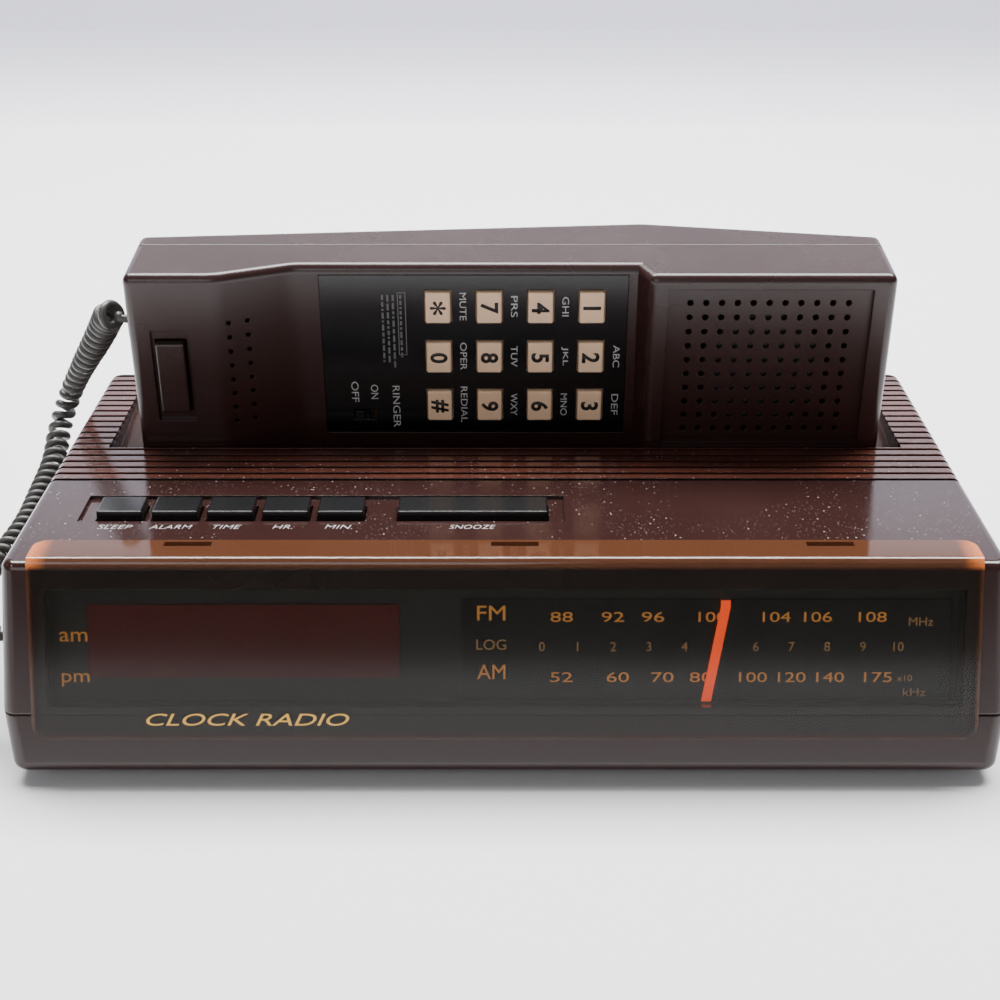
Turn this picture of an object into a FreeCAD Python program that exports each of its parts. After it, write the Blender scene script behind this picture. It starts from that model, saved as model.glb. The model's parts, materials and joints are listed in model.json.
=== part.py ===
"""Desk clock radio with a built-in telephone: base, handset in its cradle and curly cord.

Millimetres, +Z up. The origin is on the table under the middle of the base, and the dial faces -Y.
Two leaning frames carry the sloping pieces: "dial" lies on the sloping front face and "handset" on the
handset as it stands in the cradle. In both, X is the base's X, Y goes into the object, Z goes up the slope.
"""
import FreeCAD, Part
import math
import os
import re
import Sketcher

V = FreeCAD.Vector
doc = FreeCAD.newDocument("ClockRadioPhone")
sheet = doc.addObject("Spreadsheet::Sheet", "Sizes")

# name, value in mm (degrees for the leans), meaning
DIMENSIONS = [
    ("case_width", 254.8, "width of the base at the parting line"),
    ("case_top_inset", 1.1, "each side of the base, from the parting line in to its top"),
    ("case_bottom_inset", 2.3, "each side of the base, from the parting line in to its underside"),
    ("case_depth", 150, "depth of the base at its underside"),
    ("case_height", 52.4, "height of the base without its feet"),
    ("parting_height", 15, "height of the lower case"),
    ("front_lean", 16.6, "how far the front face leans back"),
    ("case_wall", 2.5, "wall of the base"),
    ("corner_round", 4, "radius of the upright corners"),
    ("edge_round", 2.5, "radius of the top and bottom edges"),
    ("foot_height", 3, "height of the feet"),
    ("foot_radius", 7, "radius of a foot"),
    ("foot_x", 104, "feet from the middle, sideways"),
    ("foot_y", 58, "feet from the middle, front to back"),
    ("strip_depth", 50.2, "smooth strip from the front edge to the ribs"),
    ("rib_pitch", 4.25, "pitch of the ribs on top"),
    ("rib_gap", 1.5, "width of a groove between ribs"),
    ("rib_depth", 1.2, "depth of a groove"),
    ("running_gap", 0.4, "gap round a piece that moves"),
    ("fixed_gap", 0.1, "gap round a piece that is fitted and stays"),
    ("handset_y", 14.8, "front of the handset on the cradle floor"),
    ("handset_lean", 6.5, "how far the handset leans forward"),
    ("handset_left", 105, "mouthpiece end from the middle"),
    ("handset_right", 107.8, "earpiece end from the middle"),
    ("handset_width", 60, "width of the handset, which stands on edge"),
    ("handset_split", 22, "depth of the front shell"),
    ("handset_end_depth", 29.4, "depth of the handset at its ends"),
    ("handset_ridge_depth", 39.5, "depth of the handset at its ridge"),
    ("ridge_x", 40, "place of the ridge along the handset"),
    ("handset_wall", 2, "wall of the handset"),
    ("handset_round", 2.5, "radius of the handset's edges"),
    ("face_blend", 14, "radius where the mouthpiece slopes into the keypad face"),
    ("seam_round", 0.45, "radius of the edges that meet in a seam"),
    ("face_drop", 7.5, "how far the keypad face lies behind the two ends"),
    ("mouth_end", -80, "where the mouthpiece end starts to slope"),
    ("face_start", -59, "where the keypad face starts"),
    ("face_end", 37, "where the keypad face ends"),
    ("ear_start", 40.3, "where the earpiece end starts"),
    ("well_depth", 7.1, "depth of the cradle at its front edge"),
    ("well_front_gap", 0.8, "handset to the front of the cradle"),
    ("well_back_gap", 4.7, "ridge of the handset to the back of the cradle"),
    ("well_end_gap", 6.6, "handset to the end of the cradle"),
    ("panel_left", -51.8, "left edge of the keypad panel"),
    ("panel_right", 34.4, "right edge of the keypad panel"),
    ("panel_low", 7.4, "lower edge of the keypad panel"),
    ("panel_high", 57, "upper edge of the keypad panel"),
    ("panel_thick", 1, "thickness of the keypad panel"),
    ("panel_lip", 2.5, "ledge that the keypad panel is glued to"),
    ("key_x", -18.8, "first column of keys"),
    ("key_z", 47.5, "first row of keys"),
    ("key_pitch_x", 14.4, "pitch of the keys along the handset"),
    ("key_pitch_z", 15.5, "pitch of the keys across the handset"),
    ("key_width", 7, "key along the handset"),
    ("key_height", 9.5, "key across the handset"),
    ("key_rise", 1.1, "key above its panel"),
    ("key_depth", 4.6, "key below the panel's face"),
    ("key_travel", 1.2, "travel of a key"),
    ("flange_width", 1, "flange that holds a key or button in"),
    ("flange_thick", 1, "thickness of that flange"),
    ("ear_left", 44.8, "left edge of the earpiece recess"),
    ("ear_right", 101.4, "right edge of the earpiece recess"),
    ("ear_low", 7.1, "lower edge of the earpiece recess"),
    ("ear_high", 55.9, "upper edge of the earpiece recess"),
    ("ear_drop", 1.8, "depth of the earpiece recess"),
    ("grille_pitch", 4.38, "pitch of the earpiece holes"),
    ("grille_hole", 0.9, "radius of an earpiece hole"),
    ("mic_hole", 0.7, "radius of a mouthpiece hole"),
    ("hook_left", -97.4, "left edge of the hook bar"),
    ("hook_right", -89.4, "right edge of the hook bar"),
    ("hook_low", 18.6, "lower edge of the hook bar"),
    ("hook_high", 40.2, "upper edge of the hook bar"),
    ("hook_rise", 1.6, "hook bar above the mouthpiece face"),
    ("hook_travel", 2, "travel of the hook bar"),
    ("hook_recess", 1.2, "depth of the recess round the hook bar"),
    ("hook_margin_x", 1.4, "recess beside the hook bar"),
    ("hook_margin_z", 3.2, "recess above and below the hook bar"),
    ("ringer_x", -42, "middle of the ringer switch"),
    ("ringer_z", 13.2, "height of the ringer switch"),
    ("ringer_travel", 3, "travel of the ringer switch"),
    ("ringer_knob", 2.6, "width of the ringer switch's knob"),
    ("opening_low", 17.8, "lower edge of the dial opening, up the slope"),
    ("opening_high", 48, "upper edge of the dial opening, up the slope"),
    ("opening_half", 115.5, "half the width of the dial opening"),
    ("dial_depth", 7, "dial panel behind the front face"),
    ("dial_thick", 1.5, "thickness of the dial panel"),
    ("led_left", -106.3, "left edge of the clock window"),
    ("led_right", -27, "right edge of the clock window"),
    ("led_low", 23.7, "lower edge of the clock window"),
    ("led_high", 42.8, "upper edge of the clock window"),
    ("lens_half", 118.9, "half the width of the lens"),
    ("lens_thick", 2, "thickness of the lens"),
    ("lens_flange", 9, "lens on top of the strip"),
    ("lens_low", 10.1, "lower edge of the lens, up the slope"),
    ("lens_round", 4, "radius of the lens's corners"),
    ("latch_width", 12, "width of a latch opening in the lens"),
    ("latch_depth", 2.4, "depth of a latch opening in the lens"),
    ("button_x", -101.5, "first clock button"),
    ("button_pitch", 14.55, "pitch of the clock buttons"),
    ("button_width", 12, "width of a clock button"),
    ("snooze_x", -8.5, "middle of the snooze bar"),
    ("snooze_width", 39.4, "width of the snooze bar"),
    ("button_front", -34, "front edge of the buttons"),
    ("button_back", -24.6, "back edge of the buttons"),
    ("button_rise", 1.9, "buttons above the strip"),
    ("button_travel", 1.2, "travel of a clock button"),
    ("button_recess", 1, "depth of the recess round the buttons"),
    ("recess_margin", 4.6, "recess outside the end buttons"),
    ("recess_front", 2, "recess in front of the buttons"),
    ("recess_back", 4.6, "recess behind the buttons"),
    ("board_thick", 1.6, "thickness of a circuit board"),
    ("clock_board_z", 42, "underside of the clock board"),
    ("main_board_z", 9, "underside of the main board"),
    ("main_board_left", 67, "left edge of the main board"),
    ("main_board_right", 120, "right edge of the main board"),
    ("main_board_front", -44, "front edge of the main board"),
    ("main_board_back", 60, "back edge of the main board"),
    ("main_board_inset", 3, "board posts inside the board's edges"),
    ("post_radius", 2.5, "radius of a board post"),
    ("clock_board_left", -122, "left end of the clock board"),
    ("clock_board_right", 21, "right end of the clock board"),
    ("clock_board_margin", 3, "clock board in front of and behind the buttons"),
    ("clock_post_inset", 3.5, "posts inside the clock board's ends"),
    ("tact_width", 6, "width of a tact switch"),
    ("tact_height", 3.4, "height of a tact switch"),
    ("tuning_y", -24, "tuning shaft, front to back"),
    ("tuning_radius", 28.4, "radius of the tuning wheel"),
    ("tuning_wheel_z", 21, "underside of the tuning wheel"),
    ("tuning_wheel_thick", 5, "thickness of the tuning wheel"),
    ("drum_radius", 24.2, "radius of the dial drum"),
    ("drum_z", 27.5, "underside of the dial drum"),
    ("drum_thick", 5, "thickness of the dial drum"),
    ("shaft_radius", 3, "radius of a control's shaft"),
    ("capacitor_half", 10, "half the width of the tuning capacitor"),
    ("capacitor_height", 8, "height of the tuning capacitor"),
    ("volume_control_half", 8, "half the width of the volume control"),
    ("volume_control_height", 5, "height of the volume control"),
    ("wheel_setback", 0.3, "wheel rims inside the widest part of the case"),
    ("string_radius", 0.4, "radius of the dial string"),
    ("pulley_radius", 8, "radius of the idler pulley"),
    ("pulley_thick", 4, "thickness of the idler pulley"),
    ("pin_radius", 1.5, "radius of the pulley's pin"),
    ("needle_x", 53.5, "dial pointer at rest"),
    ("needle_slant", 2.3, "lean of the needle to each side"),
    ("needle_width", 2.4, "width of the needle"),
    ("needle_low", 18.2, "lower end of the needle, up the slope"),
    ("needle_high", 42.6, "upper end of the lit needle, up the slope"),
    ("needle_depth", 4.3, "needle behind the front face"),
    ("needle_thick", 0.8, "thickness of the needle"),
    ("clamp_half", 3, "half the width of the needle's carriage"),
    ("clamp_low", 30, "lower edge of the carriage, up the slope"),
    ("clamp_reach", 16.3, "carriage's string clamp behind the front face"),
    ("volume_y", 31, "volume shaft, front to back"),
    ("volume_radius", 13, "radius of the volume wheel"),
    ("volume_z", 22, "underside of the volume wheel"),
    ("volume_thick", 5, "thickness of the volume wheel"),
    ("band_y", 10, "band switch, front to back"),
    ("function_y", 55, "function switch, front to back"),
    ("switch_z", 26, "height of the two side switches"),
    ("switch_knob", 5, "length of a side switch's knob"),
    ("switch_thick", 3, "height of a side switch's knob"),
    ("switch_cover", 3, "plate of a side switch beyond its knob"),
    ("band_travel", 4, "travel of the band switch"),
    ("function_travel", 8, "travel of the function switch"),
    ("jack_y", -50, "handset jack, front to back"),
    ("jack_z", 29, "height of the handset jack"),
    ("jack_size", 13, "width and height of a jack"),
    ("plug_width", 7.6, "width of a modular plug"),
    ("plug_height", 6.6, "height of a modular plug"),
    ("plug_out", 1.5, "plug outside its jack"),
    ("plug_in", 10, "plug inside its jack"),
    ("plug_y", 11.8, "handset's plug, into the handset"),
    ("plug_z", 41.5, "handset's plug, across the handset"),
    ("line_x", 60, "line jack, sideways"),
    ("line_z", 29, "height of the line jack"),
    ("line_plug_width", 9.8, "width of the line plug's hole"),
    ("line_plug_depth", 11, "depth of the line plug's hole"),
    ("jack_depth", 14, "depth of a jack"),
    ("jack_setback", 0.4, "face of a jack behind the case's wall"),
    ("gland_x", 92, "mains cord gland, sideways"),
    ("gland_z", 11.2, "height of the mains cord gland"),
    ("gland_radius", 4, "radius of the mains cord gland"),
    ("battery_left", -98, "left side of the backup battery"),
    ("battery_length", 48.5, "length of the backup battery"),
    ("battery_depth", 26.5, "width of the backup battery"),
    ("battery_height", 17.5, "thickness of the backup battery"),
    ("battery_z", 22, "underside of the backup battery"),
    ("door_margin", 1.5, "battery door round its battery"),
    ("speaker_x", 32, "middle of the speaker, sideways"),
    ("speaker_y", 28, "middle of the speaker, front to back"),
    ("speaker_radius", 28.5, "radius of the speaker's frame"),
    ("magnet_radius", 16, "radius of the speaker's magnet"),
    ("magnet_height", 8, "height of the speaker's magnet"),
    ("speaker_rim_height", 3, "height of the speaker's rim"),
    ("basket_height", 12, "height of the speaker's basket"),
    ("speaker_slot_pitch", 7, "pitch of the slots under the speaker"),
    ("speaker_slot", 2.4, "width of a slot under the speaker"),
    ("transformer_left", -44, "left side of the transformer"),
    ("transformer_width", 40, "transformer, sideways"),
    ("transformer_front", 22, "front of the transformer"),
    ("transformer_depth", 36, "transformer, front to back"),
    ("transformer_height", 34, "height of the transformer"),
    ("transformer_notch", 7, "notch for the transformer's windings"),
    ("rod_y", 3, "ferrite rod, front to back"),
    ("rod_z", 38, "height of the ferrite rod"),
    ("rod_radius", 4, "radius of the ferrite rod"),
    ("rod_left", -100, "left end of the ferrite rod"),
    ("rod_length", 80, "length of the ferrite rod"),
    ("hanger_inset", 8, "hangers inside the ends of the ferrite rod"),
    ("hanger_thick", 4, "thickness of a hanger"),
    ("front_boss_x", 62, "front screws, sideways"),
    ("front_boss_y", -41, "front screws, front to back"),
    ("rear_boss_x", 110, "rear screws, sideways"),
    ("rear_boss_y", 67, "rear screws, front to back"),
    ("boss_radius", 4, "radius of a screw boss"),
    ("screw_radius", 1.5, "radius of a screw"),
    ("head_radius", 2.8, "radius of a screw head"),
    ("head_height", 2, "height of a screw head"),
    ("case_screw_seat", 6, "case screw heads above the floor's inside"),
    ("case_screw_length", 16, "shank of a case screw"),
    ("handset_screw_seat", 2, "handset screw heads behind the split"),
    ("handset_screw_length", 12, "shank of a handset screw in the front shell"),
    ("plunger_x", -60, "cradle plunger, sideways"),
    ("plunger_y", 8, "cradle plunger, into the cradle"),
    ("plunger_radius", 3, "radius of the cradle plunger"),
    ("plunger_travel", 3, "travel of the cradle plunger"),
    ("capsule_radius", 17, "radius of the earpiece capsule"),
    ("capsule_x", 73, "middle of the earpiece capsule"),
    ("capsule_depth", 11, "depth of the earpiece capsule"),
    ("microphone_x", -74.5, "middle of the microphone"),
    ("microphone_radius", 4.9, "radius of the microphone"),
    ("microphone_depth", 6.5, "depth of the microphone"),
    ("mouth_screw_x", -99, "handset screw at the mouthpiece, along the handset"),
    ("mouth_screw_z", 8, "handset screw at the mouthpiece, across the handset"),
    ("ear_screw_x", 102, "handset screw at the earpiece, along the handset"),
    ("ear_screw_z", 30, "handset screw at the earpiece, across the handset"),
    ("front_boss_radius", 3.2, "radius of a screw boss in the front shell"),
    ("back_boss_radius", 4.6, "radius of a screw boss in the back shell"),
    ("mat_thick", 1.2, "thickness of the rubber key mat"),
    ("cord_radius", 4.5, "outer radius of the curly cord"),
]

for row, (name, value, meaning) in enumerate(DIMENSIONS, 1):
    sheet.set(f"A{row}", name)
    sheet.set(f"B{row}", str(value))
    sheet.setAlias(f"B{row}", name)
    sheet.set(f"C{row}", meaning)
doc.recompute()
SIZE = {name: float(sheet.get(name)) for name, value, meaning in DIMENSIONS}

# Lengths that follow from the driving ones.
DERIVED = {
    "case_top": "(foot_height + case_height)",
    "part_line": "(foot_height + parting_height)",
    "front_low": "(-case_depth / 2 - edge_round * (tan(front_lean) + 1 / cos(front_lean) - 1))",
    "front_part": "(front_low + parting_height * tan(front_lean))",
    "front_top": "(front_low + case_height * tan(front_lean))",
    "back_face": "(case_depth / 2)",
    "rib_start": "(front_top + strip_depth)",
    "handset_z": "(foot_height + case_height - well_depth + running_gap)",
    "front_corner": "(1 / cos(front_lean) - tan(front_lean))",
    "tuning_x": "(case_width / 2 - wheel_setback - tuning_radius)",
    "volume_x": "(case_width / 2 - wheel_setback - volume_radius)",
    "string_z": "(drum_z + drum_thick / 2)",
    "button_low": "(clock_board_z + board_thick + tact_height + button_travel + running_gap)",
    "pulley_y": "(tuning_y - drum_radius + pulley_radius)",
    "needle_back": "(dial_depth + dial_thick + 2.5)",
}


def bound(formula):
    """The formula as a document expression: derived names are written out, then each size gets its sheet."""
    text = str(formula)
    for name, meaning in reversed(DERIVED.items()):
        text = re.sub(rf"\b{name}\b", meaning, text)
    text = re.sub(r"\b(tan|cos)\((\w+)\)", r"\1(\2 * 1 deg)", text)
    return re.sub(r"\b[a-z]\w*_\w+\b", lambda found: f"Sizes.{found.group()}", text)


def bind(item, prop, formula):
    item.setExpression(prop, bound(formula))


FRAMES = {
    "base": (("0", "0", "0"), "0"),
    "dial": (("0", "front_low", "foot_height"), "-front_lean"),
    "handset": (("0", "handset_y", "handset_z"), "handset_lean"),
}


def settle(item, frame):
    """Puts a finished piece that was drawn in a leaning frame where that frame stands."""
    base, lean = FRAMES[frame]
    if frame == "base":
        return item
    if item.TypeId in ("Part::Box", "Part::Cylinder"):
        item = grouped(item.Name + "_placed", [item])
    item.Placement = FreeCAD.Placement(V(0, 0, 0), FreeCAD.Rotation(V(1, 0, 0), 1))
    for axis, formula in zip("xyz", base):
        bind(item, f"Placement.Base.{axis}", formula)
    bind(item, "Placement.Rotation.Angle", lean)
    return item


# ---------------------------------------------------------------- shapes

def block(name, low, high):
    """A box between two corners, each three formulas."""
    item = doc.addObject("Part::Box", name)
    for side, axis, a, b in zip(("Length", "Width", "Height"), "xyz", low, high):
        bind(item, side, f"({b}) - ({a})")
        bind(item, f"Placement.Base.{axis}", a)
    return item


AXES = {
    "x": FreeCAD.Rotation(V(0, 1, 0), 90),
    "y": FreeCAD.Rotation(V(1, 0, 0), -90),
    "z": FreeCAD.Rotation(),
}


def rod(name, radius, start, length, axis="z"):
    """A cylinder from a point along an axis."""
    item = doc.addObject("Part::Cylinder", name)
    item.Placement = FreeCAD.Placement(V(0, 0, 0), AXES[axis])
    bind(item, "Radius", radius)
    bind(item, "Height", length)
    for key, formula in zip("xyz", start):
        bind(item, f"Placement.Base.{key}", formula)
    return item


def fused(name, parts):
    if len(parts) == 1:
        return parts[0]
    item = doc.addObject("Part::MultiFuse", name)
    item.Shapes = parts
    return item


def grouped(name, parts):
    item = doc.addObject("Part::Compound", name)
    item.Links = parts
    return item


def cut(name, base, tools):
    item = doc.addObject("Part::Cut", name)
    item.Base = base
    item.Tool = tools[0] if len(tools) == 1 else fused(name + "_tools", tools)
    return item


def number(formula):
    """The present value of a formula, for a sketch's first guess and for shapes that are set in code."""
    probe = doc.getObject("Probe") or doc.addObject("App::FeaturePython", "Probe")
    if not hasattr(probe, "Result"):
        probe.addProperty("App::PropertyFloat", "Result")
    bind(probe, "Result", f"({formula}) * 1.0")
    probe.recompute()
    return float(probe.Result)


def origin_plane(body, role):
    return next(plane for plane in body.Origin.OriginFeatures if plane.Role == role)


def outline(body, role, points, offset):
    """A closed sketch of straight lines through points, each two formulas, on one of the body's planes."""
    sketch = body.newObject("Sketcher::SketchObject", body.Name + "_outline")
    sketch.AttachmentSupport = (origin_plane(body, role), [""])
    sketch.MapMode = "FlatFace"
    bind(sketch, "AttachmentOffset.Base.z", offset)
    guess = [V(number(u), number(w), 0) for u, w in points]
    count = len(points)
    for i in range(count):
        sketch.addGeometry(Part.LineSegment(guess[i], guess[(i + 1) % count]))
    for i in range(count):
        sketch.addConstraint(Sketcher.Constraint("Coincident", i, 2, (i + 1) % count, 1))
    for i, formulas in enumerate(points):
        for kind, formula, place in zip(("DistanceX", "DistanceY"), formulas, guess[i][:2]):
            label = f"{kind}{i}"
            index = sketch.addConstraint(Sketcher.Constraint(kind, -1, 1, i, 1, place))
            sketch.renameConstraint(index, label)
            bind(sketch, f"Constraints.{label}", formula)
    return sketch


def prism(name, role, points, low, high):
    """A body whose outline lies in a plane and is padded from low to high along that plane's axis."""
    body = doc.addObject("PartDesign::Body", name)
    start = f"-({high})" if role == "XZ_Plane" else low
    sketch = outline(body, role, points, start)
    pad = body.newObject("PartDesign::Pad", name + "_pad")
    pad.Profile = sketch
    bind(pad, "Length", f"({high}) - ({low})")
    return body


def rounded(body, radius, wanted):
    """Rounds the edges of a body that the wanted test picks."""
    doc.recompute()
    tip = body.Tip
    names = [f"Edge{i + 1}" for i, edge in enumerate(tip.Shape.Edges) if wanted(edge)]
    fillet = body.newObject("PartDesign::Fillet", body.Name + "_round")
    fillet.Base = (tip, names)
    bind(fillet, "Radius", radius)
    doc.recompute()
    return body


def tapered(name, low, high, back):
    """A block whose sides and front lean between two levels, each (half width, front, height)."""
    half_low, front_low_edge, z_low = low
    half_high, front_high_edge, z_high = high
    side = [(front_low_edge, z_low), (back, z_low), (back, z_high), (front_high_edge, z_high)]
    face = [
        (f"-({half_low})", z_low),
        (half_low, z_low),
        (half_high, z_high),
        (f"-({half_high})", z_high),
    ]
    item = doc.addObject("Part::MultiCommon", name)
    item.Shapes = [
        prism(name + "_side", "YZ_Plane", side, "-case_width", "case_width"),
        prism(name + "_face", "XZ_Plane", face, "-case_depth", "case_depth"),
    ]
    return item


def softened(item, radius, wanted):
    """Rounds the edges of a solid that the wanted test picks."""
    doc.recompute()
    fillet = doc.addObject("Part::Fillet", item.Name + "_round")
    fillet.Base = item
    size = SIZE[radius]
    fillet.Edges = [(i + 1, size, size) for i, edge in enumerate(item.Shape.Edges) if wanted(edge)]
    doc.recompute()
    return fillet


def along(edge, axis, slack=0.35):
    """Whether a straight edge runs mainly along an axis."""
    if len(edge.Vertexes) != 2:
        return False
    run = edge.Vertexes[1].Point - edge.Vertexes[0].Point
    return run.Length > 0 and abs(run.dot(axis)) / run.Length > 1 - slack


def level(edge, z, slack=0.01):
    return all(abs(vertex.Z - z) < slack for vertex in edge.Vertexes)


# ---------------------------------------------------------------- finished pieces

PIECES = {}


def finish(label, item, frame="base"):
    """Names a finished piece after its node."""
    item = settle(item, frame)
    item.Label = label
    PIECES[label] = item


# ---------------------------------------------------------------- case

CASE_SCREWS = [
    ("-front_boss_x", "front_boss_y"),
    ("front_boss_x", "front_boss_y"),
    ("-rear_boss_x", "rear_boss_y"),
    ("rear_boss_x", "rear_boss_y"),
]


def well(name, grow, low, high):
    """The room for the handset in the cradle, drawn in the handset's frame, grown by a wall."""
    item = block(
        name,
        (f"-(handset_right + well_end_gap + {grow})", f"-(well_front_gap + {grow})", low),
        (
            f"handset_right + well_end_gap + {grow}",
            f"handset_ridge_depth + well_back_gap + {grow}",
            high,
        ),
    )
    return settle(item, "handset")


def upper_room():
    """The hollow of the upper case: its inside less the walls of the cradle and the screw bosses."""
    inside = tapered(
        "upper_inside",
        ("case_width / 2 - case_wall", "front_part + case_wall / cos(front_lean)", "part_line"),
        (
            "case_width / 2 - case_top_inset - case_wall",
            "front_top + case_wall * front_corner",
            "case_top - case_wall",
        ),
        "back_face - case_wall",
    )
    kept = [well("cradle_walls", "case_wall", "-(running_gap + case_wall)", "30")]
    for i, (x, y) in enumerate(CASE_SCREWS):
        kept.append(rod(f"upper_boss{i}", "boss_radius", (x, y, "part_line"), "case_height"))
    middle = "(button_front + button_back) / 2"
    posts = "clock_board_left + clock_post_inset", "clock_board_right - clock_post_inset"
    for i, x in enumerate(posts):
        start = (x, middle, "clock_board_z + board_thick")
        kept.append(rod(f"clock_post{i}", "post_radius", start, "case_height"))
    hangers = "rod_left + hanger_inset", "rod_left + rod_length - hanger_inset - hanger_thick"
    for i, x in enumerate(hangers):
        kept.append(block(
            f"rod_hanger{i}",
            (x, "rod_y - rod_radius - 2", "rod_z - rod_radius - 2"),
            (f"{x} + hanger_thick", "rod_y + rod_radius + 1", "case_top"),
        ))
    start = ("0", "pulley_y", "string_z + pulley_thick / 2 + 1")
    kept.append(rod("pulley_post", "post_radius", start, "case_height"))
    return cut("upper_hollow", inside, kept)


def side_slot(name, y, length, low, high):
    """An opening through the right-hand wall."""
    return block(
        name,
        ("case_width / 2 - case_top_inset - case_wall - 1", f"({y}) - ({length}) / 2", low),
        ("case_width / 2 + 1", f"({y}) + ({length}) / 2", high),
    )


def rib_grooves():
    grooves = []
    count = int((SIZE["case_depth"] / 2 - number("rib_start")) / SIZE["rib_pitch"])
    for i in range(count + 1):
        start = f"rib_start + {i} * rib_pitch"
        grooves.append(block(
            f"groove{i}",
            ("-case_width", start, "case_top - rib_depth"),
            ("case_width", f"{start} + rib_gap", "case_top + 1"),
        ))
    return grooves


SMALL_BUTTONS = ["sleep_button", "alarm_button", "time_button", "hour_button", "minute_button"]


def button_places():
    """(label, middle, width) of each clock button."""
    places = []
    for i, label in enumerate(SMALL_BUTTONS):
        places.append((label, f"button_x + {i} * button_pitch", "button_width"))
    places.append(("snooze_bar", "snooze_x", "snooze_width"))
    return places


def button_openings():
    tools = [block(
        "button_recess",
        (
            "button_x - button_width / 2 - recess_margin",
            "button_front - recess_front",
            "case_top - button_recess",
        ),
        (
            "snooze_x + snooze_width / 2 + recess_margin",
            "button_back + recess_back",
            "case_top + 1",
        ),
    )]
    for label, x, width in button_places():
        tools.append(block(
            label + "_hole",
            (f"{x} - {width} / 2 - running_gap", "button_front - running_gap", "case_top - 6"),
            (f"{x} + {width} / 2 + running_gap", "button_back + running_gap", "case_top + 1"),
        ))
    return tools


def upper_case():
    outside = tapered(
        "upper_outside",
        ("case_width / 2", "front_part", "part_line"),
        ("case_width / 2 - case_top_inset", "front_top", "case_top"),
        "back_face",
    )
    top = number("case_top")
    outside = softened(outside, "corner_round", lambda edge: along(edge, V(0, 0, 1)))
    outside = softened(outside, "edge_round", lambda edge: level(edge, top))
    parting = number("part_line")
    outside = softened(outside, "seam_round", lambda edge: level(edge, parting))
    opening = block(
        "dial_opening",
        ("-opening_half", "-case_wall", "opening_low"),
        ("opening_half", "case_wall + 1.5", "opening_high"),
    )
    tools = [upper_room(), well("cradle", "0", "-running_gap", "30"), settle(opening, "dial")]
    tools += rib_grooves() + button_openings()
    for name in ("tuning", "volume"):
        low = "tuning_wheel_z" if name == "tuning" else "volume_z"
        thick = "tuning_wheel_thick" if name == "tuning" else "volume_thick"
        chord = f"sqrt({name}_radius * 8) * 2 + 2"
        tools.append(side_slot(f"{name}_slot", f"{name}_y", chord, f"{low} - 1", f"{low} + {thick} + 1"))
    for name in ("band", "function"):
        length = f"switch_knob + {name}_travel + 2 * running_gap"
        half = "(switch_thick / 2 + running_gap)"
        low, high = f"switch_z - {half}", f"switch_z + {half}"
        tools.append(side_slot(f"{name}_slot", f"{name}_y", length, low, high))
    tools.append(block(
        "handset_jack_hole",
        ("-case_width", "jack_y - jack_size / 2 - fixed_gap", "jack_z - jack_size / 2 - fixed_gap"),
        ("-case_width / 2 + 8", "jack_y + jack_size / 2 + fixed_gap", "jack_z + jack_size / 2 + fixed_gap"),
    ))
    tools.append(block(
        "line_jack_hole",
        ("line_x - jack_size / 2 - fixed_gap", "back_face - 8", "line_z - jack_size / 2 - fixed_gap"),
        ("line_x + jack_size / 2 + fixed_gap", "back_face + 1", "line_z + jack_size / 2 + fixed_gap"),
    ))
    room = "(door_margin + running_gap)"
    tools.append(block(
        "battery_doorway",
        (f"battery_left - {room}", "back_face - case_wall - 1", f"battery_z - {room}"),
        (f"battery_left + battery_length + {room}", "back_face + 1", f"battery_z + battery_height + {room}"),
    ))
    start = ("plunger_x", "plunger_y", "-10")
    tools.append(settle(rod("plunger_hole", "plunger_radius + running_gap", start, "20"), "handset"))
    for i, (x, y) in enumerate(CASE_SCREWS):
        tools.append(rod(f"upper_pilot{i}", "screw_radius", (x, y, "part_line - 1"), "13"))
    tools.append(rod("pulley_pin_hole", "pin_radius", ("0", "pulley_y", "string_z - 5"), "12"))
    start = ("rod_left", "rod_y", "rod_z")
    tools.append(rod("antenna_hole", "rod_radius + fixed_gap", start, "rod_length", "x"))
    finish("upper_case", cut("upper_case", outside, tools))


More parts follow.
